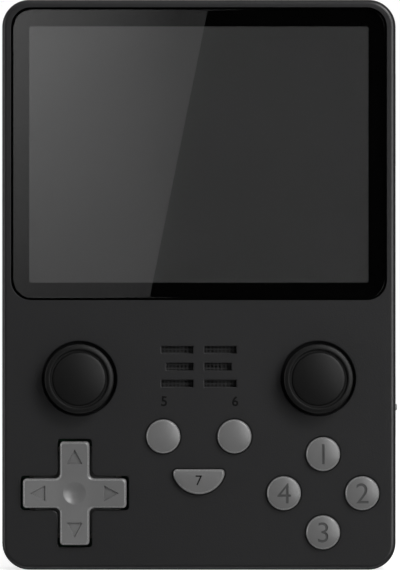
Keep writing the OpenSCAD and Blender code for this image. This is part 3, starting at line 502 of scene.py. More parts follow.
def half_round(grow):
    """The half-round button: a disc cut off above by a chord with small corners."""
    r, half, corner, top = 5.6 + grow, 5.35 + grow, 0.7 + grow, grow - 0.38
    low = math.degrees(math.asin(math.sqrt(r * r - half * half) / r))
    right = arc(half - corner, top - corner, corner, 90, 0, 5)
    bowl = arc(0, 0, r, -low, low - 180, 24)
    left = arc(corner - half, top - corner, corner, 180, 90, 5)
    return [(x, y + FUNCTION_Y) for x, y in right + bowl + left]


def on_pad(points, c, s):
    """Points round the middle of the pad, turned by an angle with this cosine and sine."""
    return [(PAD[0] + c * x - s * y, PAD[1] + s * x + c * y) for x, y in points]


def cross(grow, corner=0.75, inner=1.1):
    """The direction pad: four arms with round ends and round inner corners."""
    half, end = PAD_HALF + grow, PAD_END + grow
    arm = (arc(end - corner, corner - half, corner, -90, 0, 5) + arc(end - corner, half - corner, corner, 0, 90, 5)
           + arc(half + inner, half + inner, inner, 270, 180, 5))
    return [p for c, s in QUARTERS for p in on_pad(arm, c, s)]


# The six speaker slots, three on each side of the middle
slots = [grown(side * (SLOT_IN + end) / 2, GRILLE_Y + y, end - SLOT_IN, 1.6, 0.12, 3)
         for y, end in ((-3.52, 7.9), (0, 6.85), (3.52, 7.9)) for side in (-1, 1)]
print("slots:", len(slots))

# %% [markdown]
# ## Front shell
# The front half of the case is one moulding: outer fillet, pierced plate, glass pocket with its ledge, screw
# bosses and a stepped rim that takes the tongue of the other half. It could be the CAD solid with a Bevel, but its
# facets would show on the long corners. It is skinned from outlines instead, and only the openings in its thin
# edges are cut with a Boolean. The pocket of the glass is black inside: foam tape lines its ledge, and the black on
# its walls is painted shade for the narrow gap round the glass.

# %% Front shell
SEAM, SEAM_BREAK, PLATE_IN = 8.2, 0.15, 14.5
MID_Y, SCREEN_Y = 59.75, 87.2
LEDGE, TAPE_AND_SHADE_BELOW = 15.2, 0.2
RIM_IN, RIM_STEP = 9.3, 0.9
STICK_HOLE_R, PAD_GAP = 7.85, 0.45
CASE_SCREWS = [(-35.15, 5), (35.15, 5), (-35.15, 52.5), (35.15, 52.5)]
BOARD_SCREWS = [(-13, 36.5), (13, 36.5), (-10.5, 8), (10.5, 8)]
BOSS = [(2.2, PLATE_IN), (2.2, 10.6), (1.0, 10.6), (1.0, 13.7)]

body_outline = grown(0, MID_Y, 82.5, 119.5, 5.7, 14)
inner_outline = grown(0, MID_Y, 78.9, 115.9, 3.9, 14)
pocket_outline = grown(0, SCREEN_Y, 78.8, 61.4, 4.2)
window_outline = grown(0, SCREEN_Y, 73.8, 58.0, 0.8)


def pierced(bm, outline, edge, low=PLATE_IN, beside=0.25):
    """One hole of the front plate with a rounded edge. Gives its rings on the front and on the inside."""
    return stacked(bm, outline, rounding(edge, FRONT, HOLE, beside=beside) + [(0, low)])


bm = bmesh.new()
rim, seam = stacked(bm, body_outline, rounding(1.0, FRONT, STUD, TO_FRONT, 8, 0.1) + [
    (0, SEAM + SEAM_BREAK), (-SEAM_BREAK, SEAM)])
ceiling, step = stacked(bm, inner_outline, [(0, PLATE_IN), (0, RIM_IN), (RIM_STEP, RIM_IN), (RIM_STEP, SEAM)])
cover(bm, [seam, step])
holes = [(lambda g, p=p: circle(*p, STICK_HOLE_R + g), 0.15) for p in STICKS]
holes += [(lambda g, p=p: circle(*p, BUTTON_R + BUTTON_GAP + g), 0.08)
          for p in [*ACTION.values(), *MENU.values()]]
holes += [(lambda g: half_round(BUTTON_GAP + g), 0.08), (lambda g: cross(PAD_GAP + g), 0.1)]
holes += [(slot, 0.12) for slot in slots]
rings = [pierced(bm, outline, edge) for outline, edge in holes]
before = len(bm.faces)
pocket, ledge = pierced(bm, pocket_outline, 0.06, LEDGE, 0.1)
window_top, window_low = stacked(bm, window_outline, [(0, LEDGE), (0, PLATE_IN)])
cover(bm, [ledge, window_top])
# The pocket's deeper faces take the black finish: foam tape on the ledge, painted shade on the walls for the gap
for face in list(bm.faces)[before:]:
    face.material_index = face.calc_center_median().y > at(0, 0, FRONT - TAPE_AND_SHADE_BELOW).y
bosses = []
for p in CASE_SCREWS + BOARD_SCREWS:
    foot, end = turned(bm, *p, BOSS, 32)
    bm.faces.new(end)
    bosses.append(foot)
cover(bm, [rim, pocket] + [front for front, back in rings])
cover(bm, [ceiling, window_low] + [back for front, back in rings] + bosses)
front_shell = solid(bm, "front_shell_skin", shell_abs, tape_and_gap_shade)
print("front shell before its edge openings:", len(front_shell.data.polygons), "faces")

# %% [markdown]
# ## Openings in the edges
# Two charging sockets open at the top, two memory card slots at the left and the headphone socket at the bottom.
# They lie on the seam, so both halves of the case lose a share of each. One function makes all the cutters, once
# for each half.

# %% Cut the edges of the front shell
PORTS, PORT_Z = (-11, 11), 7.8
CARDS, CARD_HALF = (94.5, 76), 5.8
JACK_R = 2.9


def port_outline(x):
    """A charging socket's long round outline in x and z, as a function of its growth."""
    return grown(x, PORT_Z, 8.94, 3.2, 1.59, 10)


def edge_cutters(bm, card_low):
    """What the sockets and slots take out of the case's edges; the card slots start at a given depth."""
    for x in PORTS:
        capped(bm, port_outline(x), [(0.15, 116.5), (0.15, 121)], UP)
    for y in CARDS:
        block(bm, (-42.5, -38.5), (y - CARD_HALF, y + CARD_HALF), (card_low, RIM_IN))
    capped(bm, lambda grow: circle(0, SEAM, JACK_R + grow, 48), [(0, -1), (0, 3)], UP)


combine(front_shell, tool(edge_cutters, SEAM - 1), "DIFFERENCE")
dress(front_shell, "console", "shell", "front_shell")

# %% [markdown]
# ## Rear shell
# The rear half has a softer edge, four windows for the shoulder keys, countersunk screw holes that run through
# posts, and a bare shallow panel. Inside stand the hinge ears of the keys and small supports. The skin gives the
# roundings, one Boolean joins what stands inside, and one cuts the windows of the side keys and the pin holes.

# %% Rear shell
KEYS = {"left_trigger": -29.2, "left_bumper": -13.2, "right_bumper": 13.2, "right_trigger": 29.2}
HINGE, PIN_HOLE_R, EAR_R = (104.6, 3.4), 0.85, 1.7
SIDE_KEYS = {"volume": (94.5, 19.9), "power": (33.9, 13.4)}
SIDE_Z, ROCKER_X = 6.0, 38.3
BACK_IN, STAND = 1.8, 1.3
TONGUE_TOP, TONGUE_STEP = 9.2, 0.8
KEY_WINDOW = (110.275, 14.5, 10.45, 0.5)
PANEL, PANEL_DEEP = (0, 64, 44, 22, 2), 0.3
SCREW_SEAT = 2.0
POST = [(2.0, SCREW_SEAT), (1.15, SCREW_SEAT), (1.15, 9.4), (2.5, 9.4), (2.5, BACK_IN)]

bm = bmesh.new()
rim, seam = stacked(bm, body_outline, rounding(2.4, 0, STUD, TO_BACK, 10, 0.1) + [
    (0, SEAM - SEAM_BREAK), (-SEAM_BREAK, SEAM)])
floor_in, step = stacked(bm, inner_outline, [
    (0, BACK_IN), (0, TONGUE_TOP), (TONGUE_STEP, TONGUE_TOP), (TONGUE_STEP, SEAM)])
cover(bm, [seam, step])
rings = [stacked(bm, grown(x, *KEY_WINDOW), rounding(0.25, 0, HOLE, TO_BACK) + [(0, BACK_IN)])
         for x in KEYS.values()]
mouth = [(2.0 + g, z) for g, z in rounding(0.2, 0, HOLE, TO_BACK, beside=0.1)]
rings += [turned(bm, *p, mouth + POST, 40) for p in CASE_SCREWS]
top, low = stacked(bm, grown(*PANEL), rounding(0.12, 0, HOLE, TO_BACK) + [(0, PANEL_DEEP)])
bm.faces.new(low)
cover(bm, [rim] + [back for back, inside in rings] + [top])
cover(bm, [floor_in] + [inside for back, inside in rings])
rear_shell = solid(bm, "rear_shell_skin", shell_abs)

bm = bmesh.new()
ear = [(HINGE[0] + EAR_R, STAND)] + arc(*HINGE, EAR_R, 0, 180, 16) + [(HINGE[0] - EAR_R, STAND)]
for side in (-1, 1):
    for x in (5.2, 21.2, 37.2):
        bar(bm, ear, (side * x - 0.8, side * x + 0.8))
    block(bm, sorted((side * 37.7, side * 39.9)), (108.5, 116.0), (STAND, 5.0))
turned(bm, 0, 112, [(0, STAND), (2.2, STAND), (2.2, 5.0), (0.7, 5.0), (0.7, 6.3), (0, 6.3)], 32)
block(bm, (37.1, 39.9), (93.3, 95.7), (STAND, 4.2))
combine(rear_shell, solid(bm, "supports"), "UNION")

bm = bmesh.new()
edge_cutters(bm, SEAM)
for y, length in SIDE_KEYS.values():
    bar(bm, rounded(y, SIDE_Z, length + 0.4, 3.6, 0.8), (38.9, 42.5))
for side in (-1, 1):
    bar(bm, circle(*HINGE, PIN_HOLE_R, 24), (side * 3.6, side * 38.8))
turned(bm, ROCKER_X, SIDE_KEYS["volume"][0], [(0, 2.5), (0.65, 2.5), (0.65, 5.0), (0, 5.0)], 24)
combine(rear_shell, solid(bm, "cutters"), "DIFFERENCE")
dress(rear_shell, "console", "shell", "rear_shell")

# %% [markdown]
# ## Metals
# The sockets, pins and screws are steel with a thin nickel plate. Rolled and plated steel is bright with a soft
# blur, and fine drawing marks make its gloss uneven. A metal keeps the default IOR, because its colour sets what
# it reflects. The contacts in the sockets are gold on nickel.

# %% Plated metals
def plated(name, dark, light, roughness):
    """A plated metal: two bright shades, with fine drawn marks in its gloss."""
    made, tree = blank(name)
    stretched = add(tree, "ShaderNodeMapping", {"Vector": own_place(tree), "Scale": (1, 1, 0.1)})
    marks = noise(tree, stretched.outputs[0], 0.3, 3.0)
    gloss = mapped(tree, marks, 0.0, 1.0, roughness - 0.08, roughness + 0.08)
    show(tree, add(tree, "ShaderNodeBsdfPrincipled", {
        "Base Color": blend(tree, marks, dark, light), "Metallic": 1.0, "Roughness": gloss}))
    return made


nickel = plated("nickel_plated_steel", "#a9a7a2", "#b9b7b2", 0.3)
blackened = plated("blackened_steel", "#2c2c2d", "#363637", 0.4)
gold = plated("gold_plated_contact", "#c89b45", "#d6ac58", 0.25)
print("metals:", nickel.name, blackened.name, gold.name)

# %% [markdown]
# ## Case screws
# Four small pan-head screws hold the case from behind. They are one shape that repeats, so one screw is made and
# Geometry Nodes set it on four points, each turned by its own angle as a driver leaves it. The tree realizes the
# copies, because an exported model keeps only real meshes.

# %% A tree that sets one shape on points
def geometry_tree(name, result, **inputs):
    """A geometry tree with named inputs and a named result. Gives the tree and the sockets to link from."""
    tree = bpy.data.node_groups.new(name, "GeometryNodeTree")
    for label, kind in inputs.items():
        tree.interface.new_socket(label, in_out="INPUT", socket_type="NodeSocket" + kind)
    tree.interface.new_socket(result, in_out="OUTPUT", socket_type="NodeSocketGeometry")
    return tree, add(tree, "NodeGroupInput").outputs


def painted(tree, shape, finish):
    """Ends a tree: the shape gets a finish and is the result."""
    done = add(tree, "GeometryNodeSetMaterial", {"Geometry": shape.outputs[0], "Material": finish})
    add(tree, "NodeGroupOutput", {0: done.outputs[0]})
    print(tree.name, len(tree.nodes), "nodes")


def repeat_on(obj, tree, **values):
    """Runs a geometry tree on an object with its named inputs set, and keeps the result as its mesh."""
    step = obj.modifiers.new(tree.name, "NODES")
    step.node_group = tree
    for item in tree.interface.items_tree:
        if item.name in values:
            step[item.identifier] = values[item.name]
    settle(obj)


screw_tree, given = geometry_tree(
    "screws_on_points", "Screws", Points="Geometry", Screw="Object", Seed="Int", Finish="Material")
one = add(screw_tree, "GeometryNodeObjectInfo", {"Object": given["Screw"]})
angle = add(screw_tree, "FunctionNodeRandomValue", {
    "Min": (0.0, 0.0, 0.0), "Max": (0.0, math.pi, 0.0), "Seed": given["Seed"]}, data_type="FLOAT_VECTOR")
copies = add(screw_tree, "GeometryNodeInstanceOnPoints", {
    "Points": given["Points"], "Instance": one.outputs["Geometry"], "Rotation": angle.outputs["Value"]})
real = add(screw_tree, "GeometryNodeRealizeInstances", {"Geometry": copies.outputs[0]})
painted(screw_tree, real, given["Finish"])

# %% One screw, set on four points
RECESS_HALF, RECESS_END = 0.22, 0.95


def points_at(name, places):
    """An object of loose points at bench places, for a tree to set shapes on."""
    mesh = bpy.data.meshes.new(name)
    mesh.from_pydata([at(*p) for p in places], [], [])
    return placed(name, mesh)


def to_origin(obj):
    """Moves a shape from the bench's origin to the frame's, as a tree that copies it needs."""
    obj.data.transform(obj.matrix_world.Translation(-at(0, 0, 0)))
    return obj


def pan_head(head_r, head_h, shank_r, shank):
    """A pan-head screw with its seat at the origin and its cross recess to the back."""
    crown = [(head_r * math.sin(t), -head_h + 0.25 * (1 - math.cos(t)))
             for t in [math.radians(90 * i / 6) for i in range(7)]]
    made = tool(turned, 0, 0, [(0, crown[0][1])] + crown[1:] + [
        (head_r, 0), (shank_r, 0), (shank_r, shank), (0, shank)], 32)
    arm = [(RECESS_HALF, RECESS_HALF), (RECESS_HALF, RECESS_END), (-RECESS_HALF, RECESS_END)]
    arms = [(c * x - s * y, s * x + c * y) for c, s in QUARTERS for x, y in arm]
    recess = tool(capped, lambda size: [(x * size, y * size) for x, y in arms],
                  [(1.0, -head_h - 0.5), (0.7, -head_h + 0.75)])
    combine(made, recess, "DIFFERENCE")
    return to_origin(made)


screw = pan_head(1.8, 1.3, 0.95, 11.0)
case_screws = points_at("case_screws_skin", [(*p, SCREW_SEAT) for p in CASE_SCREWS])
repeat_on(case_screws, screw_tree, Screw=screw, Seed=3, Finish=blackened)
bpy.data.objects.remove(screw)
dress(case_screws, "console", "steel", "case_screws")

# %% [markdown]
# ## The screen
# Behind a clear glass lies a black printed border, and in its opening the display, which is a dark neutral grey
# when it is off. The glass is real glass with its own thickness, so that the border sits visibly below the
# surface. Its index is that of a hard sapphire cover, which mirrors twice as much as window glass: more of the
# samples then go into the reflection, and few are enough for a clean picture. Its ground edge and its small rounding
# are inked black: partly edge ink, as on real cover glasses, so that no light leaks out of it, and partly painted
# shade that keeps the gap round the glass dark and hides the rounding's reflection. It casts no shadow, because a
# lamp's light passes through it.

# %% Glass, ink and display finishes
clear_glass, tree = blank("clear_cover_glass")
# Wiping leaves a faint uneven film; the polished surface itself stays a mirror
film = blend(tree, noise(tree, own_place(tree), 22, 4.0), "#ffffff", "#f6f7f7")
show(tree, add(tree, "ShaderNodeBsdfPrincipled", {
    "Base Color": film, "Roughness": 0.0, "IOR": 1.77, "Transmission Weight": 1.0}))
# The black print of the border; the same ink is partly painted shade on the glass's edge
ink_and_edge_shade = moulded("black_border_ink_and_painted_edge_shade", "#030303", "#050505", 0.6, 0.2, 0.002, shine=0.0)
# The film on the display is glossy, so it mirrors the card a second time, below the glass
display_film = moulded("grey_display_film", "#383838", "#393939", 0.06, 0.2, 0.0001, cloud=30, shine=1.0)
print("screen finishes:", clear_glass.name, ink_and_edge_shade.name, display_film.name)

# %% Glass and its border
GLASS_WALL, GLASS_FOOT, GLASS_BREAK = 15.53, 15.43, -0.1
PRINT_TOP, PRINT_FOOT = 15.425, 15.405
pane_outline = grown(0, SCREEN_Y, 78.1, 60.7, 3.85, 10)

bm = bmesh.new()
capped(bm, pane_outline, rounding(0.15, FRONT, STUD) + [(0, GLASS_WALL), (GLASS_BREAK, GLASS_FOOT)])
bm.normal_update()
# Every face but the front and the back takes the black ink: partly edge ink, partly painted shade over the gap and
# rounding
for face in bm.faces:
    face.material_index = abs(face.normal.y) < 0.99
glass = dress(solid(bm, "screen_glass_skin", clear_glass, ink_and_edge_shade), "console", "glass", "screen_glass")
glass.visible_shadow = False
# The rim lamp is kept off the screen, which would mirror it as a white patch when seen from the right
shaded = bpy.data.collections.new("shaded_from_rim_lamp")
for obj in (glass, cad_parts["lcd_panel"]):
    shaded.objects.link(obj)
for member in shaded.collection_objects:
    member.light_linking.link_state = "EXCLUDE"
rim_lamp.light_linking.receiver_collection = shaded

bm = bmesh.new()
picture, border = rounded(0, 87.05, 71.1, 53.7, 0.4, 10), pane_outline(GLASS_BREAK)
skin(bm, [flat(picture, PRINT_TOP), flat(border, PRINT_TOP), flat(border, PRINT_FOOT), flat(picture, PRINT_FOOT)])
bmesh.ops.bridge_loops(bm, edges=[e for e in bm.edges if e.is_boundary])
dress(solid(bm, "screen_border_print", ink_and_edge_shade), "console", "glass")

# %% [markdown]
# ## Speaker grille
# Behind the six slots lies a thin steel sheet with round perforations and a black powder coat. Perforations
# repeat, so one square cell with its hole is made, and Geometry Nodes lay it out in rows and columns inside a plain
# frame and weld the cells together. Real holes are about 0.3 mm; here they are 0.5 mm, so that they show.

# %% One perforated cell
PITCH, COLUMNS, ROWS = 0.8, 20, 13
HOLE_R, HALF_THICK, WELD = 0.27, 0.15, 0.00001

bm = bmesh.new()
reach = PITCH / 2
square = [(reach, 0), (reach, reach), (0, reach), (-reach, reach), (-reach, 0), (-reach, -reach), (0, -reach),
          (reach, -reach)]
hole = circle(0, 0, HOLE_R, 8)
skin(bm, [flat(square, HALF_THICK), flat(hole, HALF_THICK), flat(hole, -HALF_THICK), flat(square, -HALF_THICK)])
one_cell = to_origin(solid(bm, "cell"))

grille_tree, given = geometry_tree(
    "perforated_sheet", "Sheet", Frame="Geometry", Cell="Object", Pitch="Float", Columns="Int", Rows="Int",
    Middle="Vector", Finish="Material")
across, up = [maths(grille_tree, "MULTIPLY", maths(grille_tree, "SUBTRACT", given[count], 1.0), given["Pitch"])
              for count in ("Columns", "Rows")]
grid = add(grille_tree, "GeometryNodeMeshGrid", {
    "Size X": across, "Size Y": up, "Vertices X": given["Columns"], "Vertices Y": given["Rows"]})
stood = add(grille_tree, "GeometryNodeTransform", {
    "Geometry": grid.outputs["Mesh"], "Translation": given["Middle"], "Rotation": (math.pi / 2, 0.0, 0.0)})
one = add(grille_tree, "GeometryNodeObjectInfo", {"Object": given["Cell"]})
cells = add(grille_tree, "GeometryNodeInstanceOnPoints", {
    "Points": stood.outputs[0], "Instance": one.outputs["Geometry"]})
real = add(grille_tree, "GeometryNodeRealizeInstances", {"Geometry": cells.outputs[0]})
joined = add(grille_tree, "GeometryNodeJoinGeometry", {0: given["Frame"]})
grille_tree.links.new(real.outputs[0], joined.inputs[0])
welded = add(grille_tree, "GeometryNodeMergeByDistance", {"Geometry": joined.outputs[0], "Distance": WELD})
painted(grille_tree, welded, given["Finish"])

# %% The whole grille
GRILLE_Z = (14.2, 14.5)
half_w, half_h = PITCH * COLUMNS / 2, PITCH * ROWS / 2
steps_x = [-half_w + reach * i for i in range(2 * COLUMNS)]
steps_y = [-half_h + reach * i for i in range(2 * ROWS)]
inner = ([(x, -half_h) for x in steps_x] + [(half_w, y) for y in steps_y]
         + [(-x, half_h) for x in steps_x] + [(-half_w, -y) for y in steps_y])
bm = bmesh.new()
inside = [[bm.verts.new(at(x, y + GRILLE_Y, z)) for x, y in inner] for z in GRILLE_Z]
outside = stacked(bm, grown(0, GRILLE_Y, 18, 12, 2, 6), [(0, z) for z in GRILLE_Z])
for outer_ring, inner_ring in zip(outside, inside):
    cover(bm, [outer_ring, inner_ring])
grille = solid(bm, "speaker_mesh_skin")
powder_coat = moulded("black_powder_coat", "#272728", "#2d2d2e", 0.6, 0.15, 0.01)
repeat_on(grille, grille_tree, Cell=one_cell, Pitch=PITCH * MM, Columns=COLUMNS, Rows=ROWS,
          Middle=at(0, GRILLE_Y, sum(GRILLE_Z) / 2), Finish=powder_coat)
bpy.data.objects.remove(one_cell)
dress(grille, "console", "mesh", "speaker_mesh")

# %% [markdown]
# ## Round buttons
# Each round button is turned about its axis: a slightly domed top, a narrow bevel, a wall and a hidden flange. The
# four action buttons carry an engraved numeral. Text is a curve in Blender, so it becomes a mesh first, is stood
# up in its place, and is then cut into the dome; the cut faces get a darker finish, which is painted shade in the
# engraving.

# %% Numerals
def numeral(text, tall, x, y, zs, finish, bold=0.0):
    """A numeral as a block between two depths, from Blender's own font, centred on a bench point."""
    curve = bpy.data.curves.new("numeral", "FONT")
    curve.body, curve.extrude, curve.resolution_u, curve.offset = text, 0.5, 6, bold
    written = placed("numeral", curve)
    graph = bpy.context.evaluated_depsgraph_get()
    bm = bmesh.new()
    bm.from_mesh(bpy.data.meshes.new_from_object(written.evaluated_get(graph)))
    bpy.data.objects.remove(written)
    bmesh.ops.remove_doubles(bm, verts=bm.verts, dist=1e-5)
    lows, highs = [[pick(v.co[i] for v in bm.verts) for i in range(2)] for pick in (min, max)]
    scale = tall / (highs[1] - lows[1])
    for v in bm.verts:
        v.co = at(x + (v.co.x - (lows[0] + highs[0]) / 2) * scale, y + (v.co.y - (lows[1] + highs[1]) / 2) * scale,
                  zs[1] if v.co.z > 0 else zs[0])
    return solid(bm, "numeral_" + text, finish)


TOP, FLANGE, FLANGE_OUT = 18.1, (13.4, 14.4), 0.95
SAG, DOME_R = 0.42, 3.22
BEVEL = [(0.05, 0.02), (0.09, 0.05), (0.27, 0.23), (0.31, 0.29)]


def button_profile():
    """Half section of a round button, from the middle of its top to the middle of its foot."""
    dome = [(DOME_R * i / 10, TOP - SAG * (i / 10) ** 2) for i in range(11)]
    bevel = [(DOME_R + out, TOP - SAG - down) for out, down in BEVEL]
    lip = BUTTON_R + FLANGE_OUT
    return dome + bevel + [(BUTTON_R, TOP - SAG - 0.4), (BUTTON_R, FLANGE[1]), (lip, FLANGE[1]), (lip, FLANGE[0]),
                           (0, FLANGE[0])]


def polish_and_highlight(bm):
    """Gives the slanted faces of a bmesh its second finish: glossier as from polishing, and paler as a painted
    highlight.
    """
    bm.normal_update()
    for face in bm.faces:
        face.material_index = 0.3 < abs(face.normal.y) < 0.94


print("button height above the front:", round(TOP - FRONT, 2), "mm")

# %% Six round buttons
ENGRAVED = 0.3
numbers = {"top": "1", "right": "2", "bottom": "3", "left": "4"}
for name, spot in {**ACTION, **MENU}.items():
    is_action = name in ACTION
    node = "action_button_" + name if is_action else name + "_button"
    bm = bmesh.new()
    turned(bm, *spot, button_profile())
    polish_and_highlight(bm)
    made = solid(bm, node + "_skin", key_abs, polished_and_highlight_abs)
    if is_action:
        # The numeral's cut faces take the darker finish, which paints the shade in the engraving
        combine(made, numeral(numbers[name], 4.2, *spot, (TOP - ENGRAVED, TOP + 1), engraving_shade_abs, -0.004), "DIFFERENCE")
    dress(made, "action_" + name if is_action else name, "button", node)

# %% [markdown]
# ## Half-round button
# The button below them is half a disc. Its top is a little crowned, which loose points inside the flat cover give:
# they are placed on a grid, and their depth follows a shallow bowl turned over. Its numeral is filled with black ink.

# %% Half-round button
CROWN = 0.16
KEY_EDGE = [(-0.6, 0), (-0.4, 0), (-0.36, 0.015), (-0.3, 0.06), (-0.06, 0.3), (-0.015, 0.37), (0, 0.45)]


def crown_at(x, y):
    """Depth of the half-round button's top."""
    away = (x / 5.3) ** 2 + ((y - FUNCTION_Y + 2.5) / 2.6) ** 2
    return TOP - CROWN * min(1, away)


bm = bmesh.new()
top, low = stacked(bm, half_round, [(g, TOP - CROWN - down) for g, down in KEY_EDGE] + [
    (0, FLANGE[1]), (FLANGE_OUT, FLANGE[1]), (FLANGE_OUT, FLANGE[0])])
polish_and_highlight(bm)
bm.faces.new(low)
grid = [(x * 0.5, FUNCTION_Y - 5.2 + y * 0.5) for x in range(-10, 11) for y in range(11)]
dots = [bm.verts.new(at(x, y, crown_at(x, y))) for x, y in grid
        if (x / 4.6) ** 2 + ((y - FUNCTION_Y + 0.9) / 3.7) ** 2 < 1 and y < FUNCTION_Y - 1.2]
cover(bm, [top], dots)
function_button = solid(bm, "function_button_skin", key_abs, polished_and_highlight_abs)
print_ink = moulded("black_print_ink", "#060606", "#0a0a0a", 0.4, 0.2, 0.002, shine=0.2)
combine(function_button, numeral("7", 2.1, 0, FUNCTION_Y - 2.7, (TOP - ENGRAVED, TOP + 1), print_ink), "DIFFERENCE")
dress(function_button, "function", "button", "function_button")

# %% [markdown]
# ## Direction pad
# A cross with a narrow bevel, a round hollow in its middle and a sunken triangle on each arm, whose upper right walls
# lie in shadow. The hollow and the triangles are outlines inside the flat top, so the same cover function takes them
# as holes. Then all of the top sinks a little towards the middle, as on real pads, which gives each arm its own
# shade. Below, a disc and a ball socket are hidden in the case.

# %% Direction pad
PAD_TOP, PAD_LIP, DISC_R = 18.0, (12.706, 13.506), 9.2
HOLLOW_R, HOLLOW = 2.4, 0.62
SUNK, DISH, ARM = 0.46, 0.08, (3.07, 10.82)
MARKS = [[(-1.65, 6.15), (1.65, 6.15), (0, 9.25)], [(-1.45, 6.27), (1.45, 6.27), (0, 9.0)]]
BALL_R, BALL_Z = 1.55, 12.2
DOT_STEP = 0.9

bm = bmesh.new()
trim = ARM[1] - PAD_END
top, low = stacked(bm, cross, [(g + trim, PAD_TOP - down) for g, down in KEY_EDGE] + [(trim, PAD_LIP[0])])
polish_and_highlight(bm)
bm.faces.new(low)
ball = (HOLLOW_R ** 2 + HOLLOW ** 2) / (2 * HOLLOW)
bowl = [(HOLLOW_R * i / 12, PAD_TOP - HOLLOW + ball - math.sqrt(ball ** 2 - (HOLLOW_R * i / 12) ** 2))
        for i in range(12, -1, -1)]
lip = [(HOLLOW_R + 0.25, PAD_TOP), (HOLLOW_R + 0.1, PAD_TOP)]
hollow, _ = turned(bm, *PAD, lip + [(r - 0.05, z) if r else (0, z) for r, z in bowl])
rings = [hollow]
for c, s in QUARTERS:
    mouth, bed = [on_pad(mark, c, s) for mark in MARKS]
    ring, sunk = skin(bm, [flat(mouth, PAD_TOP), flat(bed, PAD_TOP - SUNK)])
    rings.append(ring)
    bm.faces.new(sunk)
grid = [(DOT_STEP * i, DOT_STEP * j) for i in range(-11, 12) for j in range(-11, 12)]
dots = []
for x, y in grid:
    near, out = sorted((abs(x), abs(y)))
    on_arm = near < ARM[0] - DOT_STEP and out < ARM[1] - DOT_STEP
    by_mark = near < 1.9 and 5.9 < out < 9.5
    if on_arm and not by_mark and math.hypot(x, y) > HOLLOW_R + 0.6:
        dots.append(bm.verts.new(at(PAD[0] + x, PAD[1] + y, PAD_TOP)))
cover(bm, [top] + rings, dots)
for v in bm.verts:
    if v.co.y < at(0, 0, FRONT).y:
        out = max(abs(v.co.x / MM - PAD[0]), abs(v.co.z / MM - PAD[1]))
        v.co.y += DISH * (ARM[1] - max(out, ARM[0])) * MM
direction_pad = solid(bm, "direction_pad_skin", key_abs, polished_and_highlight_abs)
foot = PAD_LIP[0] - 0.001
disc = [(0, PAD_LIP[1]), (DISC_R, PAD_LIP[1]), (DISC_R, foot), (0, foot)]
combine(direction_pad, tool(turned, *PAD, disc, 64), "UNION")
turns = [math.radians(a) for a in range(0, 181, 12)]
socket = [(0, BALL_Z - BALL_R)] + [(BALL_R * math.sin(t), BALL_Z - BALL_R * math.cos(t)) for t in turns[1:-1]] + [
    (0, BALL_Z + BALL_R)]
combine(direction_pad, tool(turned, *PAD, socket, 32), "DIFFERENCE")
dress(direction_pad, "pad", "button", "direction_pad")

# %% [markdown]
# ## Thumb stick caps
# Each cap is a turned rubber part: a domed middle, a narrow groove, a raised rim that slopes outwards, a neck, and
# a spherical skirt that hides the mechanism while the stick tilts. Everything is one half section, turned in 128
# steps so that the bright line on the rim stays smooth.

# %% Thumb stick caps
PIVOT, SKIRT_R, LINING_R = 12.4, 7, 6.4
RIM_LOW, RIM_TOP, CAP_TOP = 19.613, 20.913, 21.3125
CAP_R, GROOVE_OUT, GROOVE_IN = 7.24, 6.1, 5.45
CREST = (CAP_R - GROOVE_OUT) / 2
DOME_RISE, LEVER_R = 0.6, 1.35


def bowl_of(r, degrees):
    """Half section of a bowl round the pivot, from its radius and a range of angles from the axis."""
    return [(r * math.sin(math.radians(a)), PIVOT + r * math.cos(math.radians(a))) for a in degrees]


def cap_profile():
    """Half section of a cap, from the top of its dome over the rim and down to its socket."""
    ball = (GROOVE_IN ** 2 + DOME_RISE ** 2) / (2 * DOME_RISE)
    dome = [(r, CAP_TOP - ball + math.sqrt(ball ** 2 - r ** 2)) for r in [5.34 * i / 14 for i in range(15)]]
    edge, groove = dome[-1][1], RIM_TOP - CREST
    shoulder = [(5.42, edge - 0.04), (GROOVE_IN, edge - 0.12), (GROOVE_IN + 0.03, groove + 0.1),
                (GROOVE_IN + 0.15, groove), (GROOVE_OUT - 0.1, groove), (GROOVE_OUT, groove + 0.1)]
    crest = [(GROOVE_OUT + out, RIM_TOP - down)
             for out, down in ((0.02, 0.1), (0.06, 0.04), (0.14, 0.01), (0.4, 0.03))]
    fall = [(CAP_R - back, RIM_TOP - down) for back, down in ((0.3, 0.16), (0.16, 0.22), (0.06, 0.32), (0, 0.47))]
    under = [(CAP_R, RIM_LOW + 0.34), (CAP_R - 0.1, RIM_LOW + 0.1), (CAP_R - 0.34, RIM_LOW), (2.9, RIM_LOW)]
    skirt, lining = bowl_of(SKIRT_R, range(25, 61, 5)), bowl_of(LINING_R, range(60, 26, -5))
    socket = [(LEVER_R, PIVOT + 5.8), (LEVER_R, RIM_LOW + 0.4), (0, RIM_LOW + 0.4)]
    return dome + shoulder + crest + fall + under + skirt + lining + socket


for name, spot in zip(("left", "right"), STICKS):
    bm = bmesh.new()
    turned(bm, *spot, cap_profile(), 128)
    dress(solid(bm, name + "_stick_cap_skin", cap_rubber), name + "_stick", "stick", name + "_stick_cap")

# %% [markdown]
# ## Shoulder keys
# Four keys stand out of the back below the top edge: a bumper and a trigger on each side. Each is a bar with two
# round long edges and softened ends. A hidden plate behind its window and a hinge barrel are joined to it.

# %% Shoulder keys
KEY_Y, KEY_Z, KEY_HALF = (105.3, 115.0), (-2.6, 2.8), 7
BARREL_R = 1.4


def key_section(grow):
    """Outline of a key in y and z: round towards the back, square towards the inside."""
    low, high, out = KEY_Y[0] - grow, KEY_Y[1] + grow, KEY_Z[0] - grow
    r = 1.6 + grow
    return [(high, KEY_Z[1])] + arc(high - r, out + r, r, 0, -90, 8) + arc(low + r, out + r, r, 270, 180, 8) + [
        (low, KEY_Z[1])]


